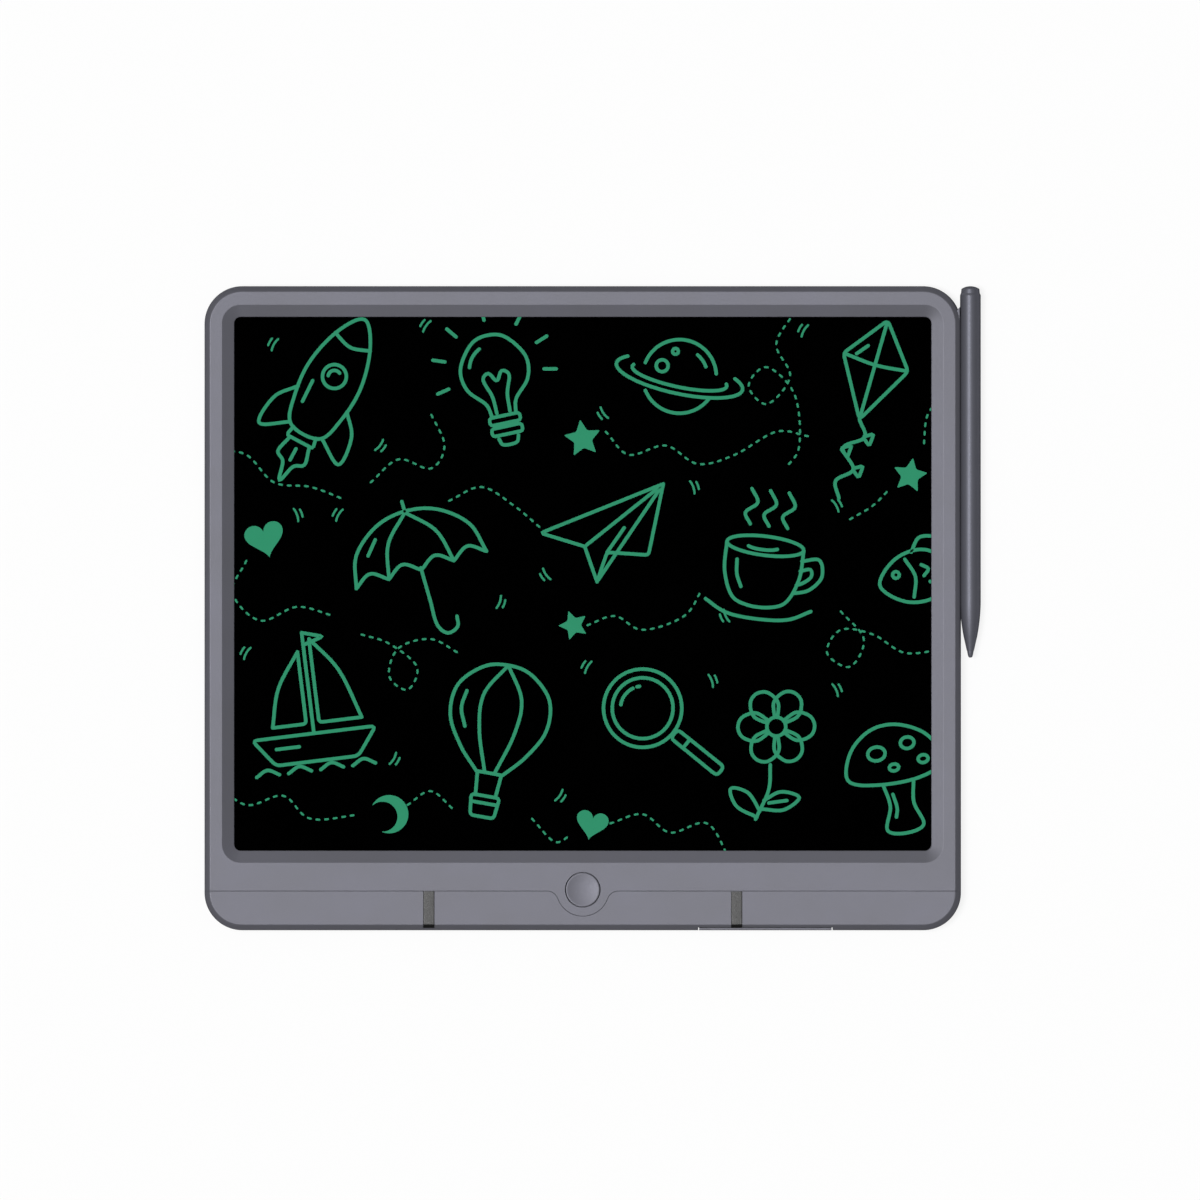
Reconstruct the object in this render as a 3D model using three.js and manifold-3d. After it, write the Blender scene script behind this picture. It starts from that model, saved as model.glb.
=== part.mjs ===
// An LCD writing tablet with its stylus beside it, built as its real sub-parts, in millimetres.
// It lies on its back: X runs to the right of the screen, Y to its top, Z out of it.
// The origin is the middle of the whole outline, stylus included, on the surface it rests on.
import * as THREE from "three";
import { mergeVertices } from "three/addons/utils/BufferGeometryUtils.js";
import Module from "manifold-3d";

const wasm = await Module();
wasm.setup();

// Clearances
const partsGap = 0.3; // between mouldings that meet, and round what slides
const layerGap = 0.1; // between the flat layers stacked under the window
const seamGap = 0.35; // the dark line between the bezel and the bottom bar
const bite = 0.2; // shapes that become one solid run this far into each other
const past = 1; // cutting shapes run this far past what they cut

// Screen window and the frame round it; the border below it follows from what lies there
const windowWidth = 302.5;
const windowHeight = 231.6;
const windowRadius = 2.8;
const sideBorder = 12.9; // window to the frame's edge
const topBorder = 13.35;
const frameRadius = 16.4;
const bevelWidth = 5.3;
const bevelDepth = 1.4;

// Case walls and edges
const footLift = 1; // the feet hold the back this far off the table
const rearDepth = 4; // back face to the parting line
const frontThick = 1.8;
const backThick = 1.6;
const frontWall = 2.2;
const tongueThick = 1; // the rear wall ends in a tongue inside the front wall
const tongueHeight = 1.3;
const frontEdgeWidth = 2.8; // the front edge rolls off over this width
const frontEdgeDrop = 3.2;
const backEdgeWidth = 2;
const backEdgeRise = 1.8;
const edgeEase = 1.6; // how much faster an edge turns near the face than near the side
const cavityShoulder = [1.8, 0.8]; // run and rise that thicken the front's inner corner
const cornerSteps = 10; // facets in each corner of what shows
const innerSteps = 4; // and in each hidden corner
const bevelSteps = 7; // and in each corner of the window

// Layers behind the window
const lipThick = 0.8;
const lipMargin = 1.2; // the lip's thick ring reaches past the bevel
const filmMargin = 4; // the film reaches this far under the lip
const filmThick = 0.4;
const boardThick = 1.1;
const foamThick = 0.8;
const foamInset = 1;
const filmRibThick = 1.2;

// Two coin cells, their pockets and their door
const cellRadius = 10;
const cellThick = 3.2;
const cellLow = 2.1; // above the back face
const cellEdge = 2.55; // pocket's outside to the frame's bottom edge
const cellSpacing = 1.6; // between the two pockets
const pocketGap = 0.4;
const pocketWall = 1.5;
const pocketRoof = 0.8;
const roofClear = 0.9; // pocket roof to the front plate
const contactRoom = 0.6; // cell to the pocket's roof
const doorLeft = 50.5; // from the middle of the frame
const doorLength = 57.5;
const doorPast = 2.9; // the door reaches this far past the pockets
const doorThick = 1.4;
const doorSideGap = 0.4;
const doorLipThick = 0.9;
const doorLipTop = 7; // above the back face
const doorTabWidth = 4;
const doorTabReach = 2.4;
const doorTabThick = 1;
const doorTabInset = 2.1;
const doorTabNeck = 1.5;
const doorLedge = 1.9;
const doorLedgeThick = 1;
const doorScrewUp = 5.75; // above the frame's bottom edge
const doorBossRadius = 3.6;
const doorBossRise = 1;
const linkSize = [34.5, 6, 0.3];
const linkGap = 0.7;
const contactWidth = 5;
const contactThick = 0.25;
const contactRailHeight = 1.3;
const contactRailGap = 0.7; // pocket wall to the first rail
const contactRailPitch = 1.1;
const contactFoot = [2.5, 2]; // width, and reach onto the board
const contactFootPitch = 5.5;
const railRoom = 2.7; // for the contact rails, between the pockets and the film's rib

// Erase button and the silicone dome under it
const buttonUp = 17.55; // above the frame's bottom edge
const buttonRadius = 7.35;
const buttonHoleGap = 0.4;
const buttonProud = 0.1;
const buttonDish = 0.55; // depth of the finger dish
const buttonRim = 0.7;
const buttonEdge = 0.3;
const buttonFlange = 1.85; // the flange reaches this far past the button
const buttonFlangeThick = 1;
const buttonCollarThick = 1.2;
const plungerRadius = 2.2;
const domeRadius = 6;
const domeHeight = 1.5;
const domeSkin = 0.4;

// Bottom bar, its seam and its rubber strips
const seamBelow = 0.5; // below the button's middle
const seamDipWall = 4.05; // the seam dips round the button at this distance
const seamFillet = 5;
const lapDepth = 3; // the bezel's tongue under the bar
const lapThick = 1;
const lapEndGap = 6; // the tongue stops this far from the door
const stripWidth = 4.7;
const stripSpread = 66.8; // each strip from the middle of the frame
const stripThick = 0.8;
const stripSideGap = 0.1;

// Circuit board and what it carries
const pcbThick = 1;
const pcbAbove = 8.7; // board edges above and below the button's middle
const pcbBelow = 7.3;
const pcbLockEnd = 10; // the board reaches this far past the lock slider
const pcbDoorGap = 4;
const pcbCorner = 1.5;
const pcbPost = 1.8; // posts that carry the board off the back wall
const pcbPostRadius = 2.1;
const pcbPinRadius = 0.9;
const pcbPinGap = 0.3;
const pcbPinInset = 3.3;
const pcbPinSpread = 18; // two pins flank the button at this distance
const chipSize = [6, 5, 1.5];
const chipSpot = [24, 5.5]; // from the button, and below the board's top edge
const legPitch = 1.27;
const coilSpot = [31.5, 5];
const coilRadius = 3;
const coilHeight = 1.6;
const capacitorSize = [3.2, 2.5, 1.6];
const capacitorSpot = [15.5, 3.5];
const connectorSize = [14, 3.6, 1.3];
const tailX = -27; // the film's flex tail, from the middle of the frame
const tailWidth = 12;
const tailThick = 0.2;
const tailRun = 9; // film edge to the connector

// Lock slider on the back, under the switch that it works
const lockX = -40;
const lockTravel = 3;
const lockGrip = [5.4, 4]; // length and width of the finger grip
const lockGripProud = 0.5;
const lockGroove = [0.5, 0.3]; // width and depth of the grooves in the grip
const lockNeck = [2.6, 2.4];
const lockFlange = [10, 5];
const lockFlangeThick = 0.4;
const lockFloat = 0.15;
const lockRecess = 0.5;
const lockSwitchSize = [8, 3.6, 1];
const lockPeg = [1, 0.8, 0.9];

// Case screws and feet
const screwInset = 4.7; // screw axis in from the frame's edge
const screwHeadRadius = 2.3;
const screwHeadThick = 1.2;
const screwHeadSink = 0.3;
const screwHeadRound = 0.5;
const screwRadius = 1.1;
const screwLength = 5;
const doorScrewLength = 3.8;
const screwHoleGap = 0.2;
const doorScrewGap = 0.6; // lets the screw swing out with the door
const rearBossRadius = 3.4;
const frontBossRadius = 2.6;
const topScrewX = 80; // from the middle of the frame
const upperScrewDrop = 79.75; // below the frame's top edge
const lowerScrewUp = 89.75; // above its bottom edge
const bottomScrewX = 42;
const cornerScrewInset = 14.15;
const crossLength = 2.6;
const crossWidth = 0.6;
const crossDepth = 0.7;
const footRadius = 6;
const footSink = 0.5;
const footGap = 0.15;
const footSideInset = 18.15;
const footTopInset = 18.75;
const footBottomInset = 20.75;

// Stiffening ribs of the rear shell
const ribThick = 1.2;
const ribPitch = 60;
const ribRise = 20; // the top rib above the upper side screws
const ribEndGap = 25; // no upright rib nearer to the side than this
const ribFootDrop = 0.8; // the lowest rib below the window
const ribFootGap = 15; // no level rib nearer to the lowest one than this

// Stylus, its cradle and its magnets
const stylusRadius = 4.5;
const stylusSides = 24;
const stylusLength = 161.2;
const stylusGap = 0.25;
const channelCut = 0.66; // the stylus lies this deep in the side of the case
const channelEnd = 5.05; // the channel starts this far above the tip
const taperLength = 25;
const taperKnee = 12.7; // from here to the tip the taper is a straight cone
const taperKneeRadius = 3.3;
const tipLength = 2.9;
const tipRadius = 1.35;
const nibRadius = 0.95;
const nibShankRadius = 0.75;
const nibShankLength = 5;
const nibGap = 0.15;
const capLength = 3;
const capInset = 0.43; // the cap is thinner than the barrel by this at its foot
const capTopInset = 0.58; // and by this at its top
const capDome = 1.05;
const capChamfer = 0.9;
const capSpigot = 6;
const capGap = 0.1;
const boreWall = 1.1;
const boreBottom = 30; // above the tip
const cradleStart = 0.45; // above the stylus taper
const cradleDrop = 7.75; // below the frame's top edge
const cradleSlope = 3.2; // its top end slants back towards the case
const cradleInset = 0.55; // hidden behind the barrel by this
const cradleRise = 2.9;
const cradleFloor = 0.75;
const cradleCorner = 2.4;
const magnetSize = [2, 12, 5];
const magnetDrops = [27.75, 99.75]; // below the frame's top edge
const magnetClip = 1.2;

// Sizes that follow from the ones above
const rearWall = frontWall + partsGap + tongueThick;
const pocketRadius = cellRadius + pocketGap;
const pocketOuter = pocketRadius + pocketWall;
const pocketDepth = cellLow + cellThick + contactRoom;
const filmRibOuter = filmMargin + partsGap + filmRibThick;
const bodyDepth = pocketDepth + pocketRoof + roofClear + frontThick;
const bottomBorder = cellEdge + 2 * pocketOuter + railRoom + filmRibOuter;
const frameWidth = windowWidth + 2 * sideBorder;
const frameHeight = windowHeight + topBorder + bottomBorder;
const halfWidth = frameWidth / 2;
const halfHeight = frameHeight / 2;
const windowRise = (bottomBorder - topBorder) / 2;
const windowLow = windowRise - windowHeight / 2;
const filmEdge = windowLow - filmMargin;

// Heights
const backZ = footLift;
const backInnerZ = backZ + backThick;
const rearTopZ = backZ + rearDepth;
const frontLowZ = rearTopZ + partsGap;
const frontZ = backZ + bodyDepth;
const plateZ = frontZ - frontThick;
const lipLowZ = frontZ - bevelDepth - lipThick;
const filmTopZ = lipLowZ - layerGap;
const boardTopZ = filmTopZ - filmThick - layerGap;
const foamTopZ = boardTopZ - boardThick - layerGap;
const ribTopZ = foamTopZ - foamThick - layerGap;
const pcbLowZ = backInnerZ + pcbPost;
const pcbTopZ = pcbLowZ + pcbThick;
const domeTopZ = pcbTopZ + domeHeight;
const roofZ = backZ + pocketDepth;
const screwHeadLowZ = backZ + screwHeadSink;
const screwHeadTopZ = screwHeadLowZ + screwHeadThick;
const doorTopZ = backZ + doorThick;
const throughZ = frontZ + 5; // well above everything, for cuts that go right through

// Places along the bottom band
const buttonY = buttonUp - halfHeight;
const seamY = buttonY - seamBelow;
const seamDipRadius = buttonRadius + seamDipWall;
const doorRight = doorLeft + doorLength;
const doorMiddle = doorLeft + doorLength / 2;
const cellY = cellEdge + pocketOuter - halfHeight;
const cellPitch = 2 * pocketRadius + cellSpacing;
const cellXs = [doorMiddle - cellPitch / 2, doorMiddle + cellPitch / 2];
const doorTop = cellY + pocketRadius + doorPast;
const doorScrew = [doorMiddle, doorScrewUp - halfHeight];
const lipRecess = doorLipThick + partsGap;
const stripLow = lipRecess + stripSideGap - halfHeight;
const pcbTop = buttonY + pcbAbove;
const pcbBottom = buttonY - pcbBelow;
const pcbLeft = lockX - pcbLockEnd;
const pcbRight = doorLeft - pcbDoorGap;
const pcbPins = [
  [pcbLeft + pcbPinInset, pcbTop - pcbPinInset],
  ...[-pcbPinSpread, pcbPinSpread, pcbRight - pcbPinInset].map((x) => [x, pcbBottom + pcbPinInset]),
];
const onBoard = ([x, drop]) => [x, pcbTop - drop];
const ribBottom = windowLow - ribFootDrop;

// Places round the frame
const upperScrewY = halfHeight - upperScrewDrop;
const caseScrews = [
  ...[upperScrewY, lowerScrewUp - halfHeight].flatMap((y) =>
    [-1, 1].map((side) => [side * (halfWidth - screwInset), y])),
  ...[-1, 1].map((side) => [side * topScrewX, halfHeight - screwInset]),
  ...[bottomScrewX, halfWidth - cornerScrewInset].flatMap((x) =>
    [-1, 1].map((side) => [side * x, screwInset - halfHeight])),
];
const feet = [-1, 1].flatMap((side) =>
  [halfHeight - footTopInset, footBottomInset - halfHeight].map((y) =>
    [side * (halfWidth - footSideInset), y]));

// Places along the stylus
const stylusX = halfWidth + stylusRadius + stylusGap - channelCut;
const stylusZ = backZ + cradleFloor + stylusGap + stylusRadius;
const stylusTipY = halfHeight - stylusLength;
const capRadius = stylusRadius - capInset;
const boreRadius = stylusRadius - boreWall;
const magnetYs = magnetDrops.map((drop) => halfHeight - drop);
const outlineShift = (halfWidth - stylusX - stylusRadius) / 2;

// Helpers for solids

function solidFrom(positions, faces) {
  const kept = [];
  for (let i = 0; i < faces.length; i += 3) {
    const [a, b, c] = faces.slice(i, i + 3);
    if (a !== b && b !== c && c !== a) kept.push(a, b, c);
  }
  const make = (triangles) => new wasm.Manifold(new wasm.Mesh({
    numProp: 3,
    vertProperties: new Float32Array(positions),
    triVerts: new Uint32Array(triangles),
  }));
  const solid = make(kept);
  return solid.volume() < 0 ? make(kept.reverse()) : solid;
}

function solidOf(geometry) {
  const bare = geometry.index ? geometry.toNonIndexed() : geometry.clone();
  bare.deleteAttribute("normal");
  bare.deleteAttribute("uv");
  const merged = mergeVertices(bare, 1e-4);
  return solidFrom(merged.attributes.position.array, Array.from(merged.index.array));
}

// A solid through closed rings of equal point counts, each at its own height.
function loft(levels) {
  const count = levels[0][1].length;
  const last = (levels.length - 1) * count;
  const positions = levels.flatMap(([z, ring]) => ring.flatMap((p) => [p.x, p.y, z]));
  const faces = [];
  for (let base = 0; base < last; base += count)
    for (let i = 0; i < count; i++) {
      const next = (i + 1) % count;
      faces.push(base + i, base + next, base + count + next);
      faces.push(base + i, base + count + next, base + count + i);
    }
  const cap = THREE.ShapeUtils.triangulateShape(levels[0][1], []);
  for (const [a, b, c] of cap) faces.push(c, b, a, last + a, last + b, last + c);
  return solidFrom(positions, faces);
}

const slab = (ring, low, high) => loft([[low, ring], [high, ring]]);

function roundedRing(width, height, radius, x = 0, y = 0, steps = cornerSteps) {
  const quarters = [[1, -1], [1, 1], [-1, 1], [-1, -1]];
  return quarters.flatMap(([sx, sy], quarter) =>
    Array.from({ length: steps + 1 }, (_, i) => {
      const turn = (quarter - 1 + i / steps) * Math.PI / 2;
      return new THREE.Vector2(
        x + sx * (width / 2 - radius) + radius * Math.cos(turn),
        y + sy * (height / 2 - radius) + radius * Math.sin(turn),
      );
    }));
}

const frameRing = (inset, steps) =>
  roundedRing(frameWidth - 2 * inset, frameHeight - 2 * inset, frameRadius - inset, 0, 0, steps);

const windowRing = (grow, steps = innerSteps) => roundedRing(windowWidth + 2 * grow,
  windowHeight + 2 * grow, windowRadius + grow, 0, windowRise, steps);

function box(x0, x1, y0, y1, z0, z1) {
  const geometry = new THREE.BoxGeometry(x1 - x0, y1 - y0, z1 - z0);
  return solidOf(geometry.translate((x0 + x1) / 2, (y0 + y1) / 2, (z0 + z1) / 2));
}

const blockOn = ([x, y], [sx, sy, sz], low) =>
  box(x - sx / 2, x + sx / 2, y - sy / 2, y + sy / 2, low, low + sz);

function post([x, y], radius, low, high, sides = 12) {
  const geometry = new THREE.CylinderGeometry(radius, radius, high - low, sides);
  return solidOf(geometry.rotateX(Math.PI / 2).translate(x, y, (low + high) / 2));
}

function rodAlongY(x, z, radius, low, high, sides = 48) {
  const geometry = new THREE.CylinderGeometry(radius, radius, high - low, sides);
  return solidOf(geometry.translate(x, (low + high) / 2, z));
}

// A solid of revolution about the vertical line through x, y, from radius and height pairs.
function turned(profile, [x, y], sides) {
  const points = profile.map(([radius, height]) => new THREE.Vector2(radius, height));
  const geometry = new THREE.LatheGeometry(points, sides);
  return solidOf(geometry.rotateX(Math.PI / 2).translate(x, y, 0));
}

// A bent sheet strip: its middle line in Y and Z is thickened, then it is drawn out along X.
function bentStrip(line, thick, width, x) {
  const points = line.map(([y, z]) => new THREE.Vector2(y, z));
  const side = (sign) => points.map((p, i) => {
    const from = points[Math.max(i - 1, 0)];
    const to = points[Math.min(i + 1, points.length - 1)];
    const along = to.clone().sub(from).normalize();
    return new THREE.Vector2(p.x - sign * along.y * thick / 2, p.y + sign * along.x * thick / 2);
  });
  const shape = new THREE.Shape([...side(1), ...side(-1).reverse()]);
  const geometry = new THREE.ExtrudeGeometry(shape, { depth: width, bevelEnabled: false });
  // The shape's own X and Y become Y and Z, and its depth runs along X.
  const turn = new THREE.Matrix4().set(0, 0, 1, x - width / 2, 1, 0, 0, 0, 0, 1, 0, 0, 0, 0, 0, 1);
  return solidOf(geometry.applyMatrix4(turn));
}

const join = (first, ...rest) => rest.reduce((whole, piece) => whole.add(piece), first);
const cut = (first, ...rest) => rest.reduce((whole, tool) => whole.subtract(tool), first);

// Case form

// The front edge rolls off: it turns faster near the face than near the side.
function frontLevels(depth) {
  const steps = 4;
  return Array.from({ length: steps + 1 }, (_, i) => {
    const share = 1 - i / steps;
    const inset = frontEdgeWidth * (1 - share) ** edgeEase;
    return [frontZ - depth - frontEdgeDrop * share, frameRing(inset + depth)];
  });
}

const frontOuter = (depth) => loft([[frontLowZ, frameRing(depth)], ...frontLevels(depth)]);

function backLevels() {
  const steps = 3;
  return Array.from({ length: steps + 1 }, (_, i) => {
    const inset = backEdgeWidth * (1 - i / steps) ** edgeEase;
    return [backZ + backEdgeRise * i / steps, frameRing(inset)];
  });
}

const rearOuter = () => loft([...backLevels(), [rearTopZ, frameRing(0)]]);
const wholeOuter = () => loft([...backLevels(), ...frontLevels(0)]);
const stylusChannel = () => rodAlongY(stylusX, stylusZ, stylusRadius + stylusGap,
  stylusTipY + channelEnd, halfHeight + past);
const lipCut = () => box(doorLeft - doorSideGap, doorRight + doorSideGap, -halfHeight - past,
  lipRecess - halfHeight, -past, throughZ);

// Everything below the seam, which dips round the erase button; inset opens the gap.
function barRegion(inset) {
  const lineY = seamY - inset;
  const dip = seamDipRadius + inset;
  const fillet = seamFillet - inset;
  const filletY = lineY - fillet;
  const rise = filletY - buttonY;
  const filletX = Math.sqrt((dip + fillet) ** 2 - rise ** 2);
  const lean = Math.atan2(-rise, filletX);
  const shape = new THREE.Shape();
  shape.moveTo(-frameWidth, -frameHeight);
  shape.lineTo(frameWidth, -frameHeight);
  shape.lineTo(frameWidth, lineY);
  shape.lineTo(filletX, lineY);
  shape.absarc(filletX, filletY, fillet, Math.PI / 2, Math.PI - lean, false);
  shape.absarc(0, buttonY, dip, -lean, lean - Math.PI, true);
  shape.absarc(-filletX, filletY, fillet, lean, Math.PI / 2, false);
  shape.lineTo(-frameWidth, lineY);
  return slab(shape.getPoints(14), -past, throughZ);
}

function windowCut() {
  return loft([
    [lipLowZ - past, windowRing(0, bevelSteps)],
    [frontZ - bevelDepth, windowRing(0, bevelSteps)],
    [frontZ, windowRing(bevelWidth, bevelSteps)],
    [frontZ + past, windowRing(bevelWidth, bevelSteps)],
  ]);
}

// A rib that frames the film's edge, open where the flex tail leaves it.
function filmRib() {
  const inner = filmMargin + partsGap;
  const low = ribTopZ + partsGap;
  const tailHalf = tailWidth / 2 + past;
  return cut(
    slab(windowRing(filmRibOuter), low, lipLowZ + bite),
    slab(windowRing(inner), low - past, lipLowZ + past),
    box(tailX - tailHalf, tailX + tailHalf, seamY, windowLow, low - past, lipLowZ),
  );
}

// The front's hollow, with a sloped shoulder that keeps the rolled edge thick.
function frontCavity() {
  const [run, rise] = cavityShoulder;
  return loft([
    [frontLowZ - past, frameRing(frontWall, innerSteps)],
    [plateZ - rise, frameRing(frontWall, innerSteps)],
    [plateZ, frameRing(frontWall + run, innerSteps)],
  ]);
}

// The bezel and the bottom bar come from one moulded front form, so their faces line up.
function frontForm() {
  const lipRing = slab(windowRing(bevelWidth + lipMargin), lipLowZ, plateZ + bite);
  const bosses = caseScrews.map((spot) => post(spot, frontBossRadius, frontLowZ, plateZ + bite));
  const holes = caseScrews.map((spot) =>
    post(spot, screwRadius + screwHoleGap, frontLowZ - past, plateZ - bite, 10));
  const form = join(cut(frontOuter(0), frontCavity()), lipRing, filmRib(), ...bosses);
  return cut(form, ...holes, windowCut(), stylusChannel());
}

function frontBezel(form) {
  const button = [0, buttonY];
  const collarInner = buttonRadius + buttonFlange + buttonHoleGap;
  const collarLow = plateZ - buttonFlangeThick - buttonHoleGap;
  const lapHigh = plateZ - partsGap;
  const lapLow = lapHigh - lapThick;
  const lapSide = seamDipRadius + seamFillet + lapDepth;
  const lapEnd = halfWidth - cornerScrewInset;
  const laps = [[-lapEnd, -lapSide], [lapSide, doorLeft - lapEndGap], [doorRight + lapEndGap, lapEnd]];
  const collar = cut(
    post(button, collarInner + buttonCollarThick, collarLow, plateZ + bite, 36),
    post(button, collarInner, collarLow - past, plateZ, 36),
  );
  const tongues = laps.flatMap(([x0, x1]) => [
    box(x0, x1, seamY - lapDepth, seamY + lapDepth, lapLow, lapHigh),
    box(x0, x1, seamY, seamY + lapDepth, lapLow, plateZ + bite),
  ]);
  const bezel = join(cut(form, barRegion(0)), collar, ...tongues);
  return bezel.subtract(post(button, buttonRadius + buttonHoleGap, plateZ - past, throughZ, 36));
}

const stripBox = (x, sideGap, low, high) =>
  box(x - stripWidth / 2 - sideGap, x + stripWidth / 2 + sideGap, low, high, frontLowZ, throughZ);

function bottomBar(form) {
  const grooves = [-stripSpread, stripSpread].map((x) =>
    cut(stripBox(x, stripSideGap, stripLow - stripSideGap, seamY), frontOuter(stripThick + stripSideGap)));
  return cut(form.intersect(barRegion(seamGap)), lipCut(), ...grooves);
}

function rubberStrip(x) {
  const layer = cut(frontOuter(0), frontOuter(stripThick));
  return layer.intersect(stripBox(x, 0, stripLow, seamY - seamGap - stripSideGap));
}

// Rear shell: a tray with ribs, screw bosses, cell pockets and the stylus cradle.

// The cradle is a ledge past the case's side; its section is drawn out along the stylus.
function cradle() {
  const reach = stylusX + stylusRadius - cradleInset;
  const inner = halfWidth - rearWall - 2 * past;
  const low = stylusTipY + taperLength + cradleStart;
  const high = halfHeight - cradleDrop;
  const top = backZ + cradleRise;
  const section = new THREE.Shape([
    [inner, backZ], [reach - cradleCorner, backZ], [reach - cradleCorner / 4, backZ + cradleCorner / 2],
    [reach, top], [inner, top],
  ].map(([x, z]) => new THREE.Vector2(x, z)));
  const ledge = new THREE.ExtrudeGeometry(section, { depth: high - low, bevelEnabled: false });
  ledge.rotateX(Math.PI / 2).translate(0, high, 0);
  const slantX = stylusX - cradleSlope;
  const plan = [
    [inner - past, low - past], [inner, low - past], [reach + past, low + stylusRadius],
    [reach + past, high - cradleCorner], [reach - cradleCorner, high], [slantX, high],
    [slantX - cradleSlope, high - cradleSlope], [inner - past, high - cradleSlope],
  ].map(([x, y]) => new THREE.Vector2(x, y));
  return solidOf(ledge).intersect(slab(plan, 0, throughZ));
}

function tongue() {
  const high = rearTopZ + tongueHeight;
  return cut(
    slab(frameRing(frontWall + partsGap, innerSteps), rearTopZ - past, high),
    slab(frameRing(rearWall, innerSteps), rearTopZ - 2 * past, high + past),
  );
}

function ribs() {
  const low = backInnerZ - bite;
  const side = halfWidth - rearWall + bite;
  const top = halfHeight - rearWall + bite;
  const half = ribThick / 2;
  const pairs = Math.floor((halfWidth - ribEndGap) / ribPitch);
  const uprights = Array.from({ length: 2 * pairs + 1 }, (_, i) => (i - pairs) * ribPitch);
  const levels = [];
  for (let y = upperScrewY + ribRise; y > ribBottom + ribFootGap; y -= ribPitch) levels.push(y);
  return [
    ...uprights.map((x) => box(x - half, x + half, ribBottom - half, top, low, ribTopZ)),
    ...levels.map((y) => box(-side, side, y - half, y + half, low, ribTopZ)),
    box(-side, side, ribBottom - ribThick, ribBottom, low, ribTopZ),
  ];
}

function cellPockets() {
  const low = backZ + doorLedgeThick;
  const ledgeHigh = doorTopZ + partsGap + doorLedgeThick;
  const ledgeYs = [rearWall - bite - halfHeight, doorTop - partsGap - doorTabNeck];
  const [cellLeft, cellRight] = cellXs;
  return [
    ...cellXs.map((x) => post([x, cellY], pocketOuter, low, roofZ + pocketRoof, 32)),
    box(doorLeft - doorLedge, doorLeft + pocketWall, ...ledgeYs, low, ledgeHigh),
    box(doorRight - pocketWall, doorRight + doorLedge, ...ledgeYs, low, ledgeHigh),
    box(doorLeft, cellLeft, cellY - past, cellY + past, low, roofZ),
    box(cellRight, doorRight, cellY - past, cellY + past, low, roofZ),
    post(doorScrew, doorBossRadius - pocketGap, low, roofZ + pocketRoof),
  ];
}

function cellPocketCuts() {
  const [linkLength, linkDepth] = linkSize;
  const slotHalf = contactWidth / 2 + partsGap;
  const linkHalf = linkDepth / 2 + linkGap;
  return [
    ...cellXs.map((x) => post([x, cellY], pocketRadius, 0, roofZ, 32)),
    ...cellXs.map((x) => box(x - slotHalf, x + slotHalf, cellY, cellY + pocketOuter + past,
      roofZ - contactRailHeight - bite, roofZ)),
    box(doorMiddle - linkLength / 4, doorMiddle + linkLength / 4, cellY - linkHalf, cellY + linkHalf,
      0, backZ + cellLow),
    box(doorLeft - doorSideGap, doorRight + doorSideGap, -halfHeight - past, doorTop + partsGap,
      0, doorTopZ + partsGap),
    post(doorScrew, doorBossRadius + partsGap, 0, doorTopZ + doorBossRise + partsGap),
    post(doorScrew, screwRadius + doorScrewGap, 0, roofZ - bite),
  ];
}

function lockCuts() {
  const [gripLength, gripWidth] = lockGrip;
  const [neckLength, neckWidth] = lockNeck;
  const middle = [lockX + lockTravel / 2, buttonY];
  const recessSpare = 2 * partsGap + past;
  const slotSpare = 2 * partsGap;
  return [
    blockOn(middle, [gripLength + lockTravel + recessSpare, gripWidth + recessSpare, lockRecess + past],
      backZ - past),
    blockOn(middle, [neckLength + lockTravel + slotSpare, neckWidth + slotSpare, backThick + 2 * past],
      backZ - past),
  ];
}

function magnetClips() {
  const [thick, length, height] = magnetSize;
  const right = halfWidth - rearWall + bite;
  const left = halfWidth - rearWall - partsGap - thick;
  return magnetYs.flatMap((y) => [-1, 1].map((side) => {
    const middle = y + side * (length / 2 + partsGap + magnetClip / 2);
    return blockOn([(left + right) / 2, middle], [right - left, magnetClip, height * 0.6 + bite],
      backInnerZ - bite);
  }));
}

function rearShell() {
  const cavity = slab(frameRing(rearWall, innerSteps), backInnerZ, throughZ);
  const notches = caseScrews.map((spot) =>
    post(spot, frontBossRadius + partsGap + bite, rearTopZ, rearTopZ + tongueHeight + past, 8));
  const bosses = caseScrews.map((spot) => post(spot, rearBossRadius, backInnerZ - bite, rearTopZ));
  const boardPosts = pcbPins.flatMap((spot) => [
    post(spot, pcbPostRadius, backInnerZ - bite, pcbLowZ - layerGap),
    post(spot, pcbPinRadius, pcbLowZ - layerGap - bite, pcbTopZ + pcbPinGap, 8),
  ]);
  const screwCuts = caseScrews.flatMap((spot) => [
    post(spot, screwHeadRadius + partsGap, 0, screwHeadTopZ + layerGap),
    post(spot, screwRadius + screwHoleGap, 0, throughZ, 10),
  ]);
  const footCuts = feet.map((spot) => post(spot, footRadius + footGap, 0, backZ + footSink, 24));
  const tray = join(cut(join(rearOuter(), cradle()), cavity), tongue(), ...ribs());
  const shell = join(cut(tray, ...notches), ...cellPockets(), ...magnetClips(), ...bosses,
    ...boardPosts);
  return cut(shell, ...screwCuts, ...footCuts, ...cellPocketCuts(), ...lockCuts(), lipCut(),
    stylusChannel());
}

// Screen stack

const lcdFilm = () => slab(windowRing(filmMargin), filmTopZ - filmThick, filmTopZ);
const backingBoard = () => slab(windowRing(filmMargin), boardTopZ - boardThick, boardTopZ);
const foamSheet = () => slab(windowRing(filmMargin - foamInset), foamTopZ - foamThick, foamTopZ);

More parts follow.
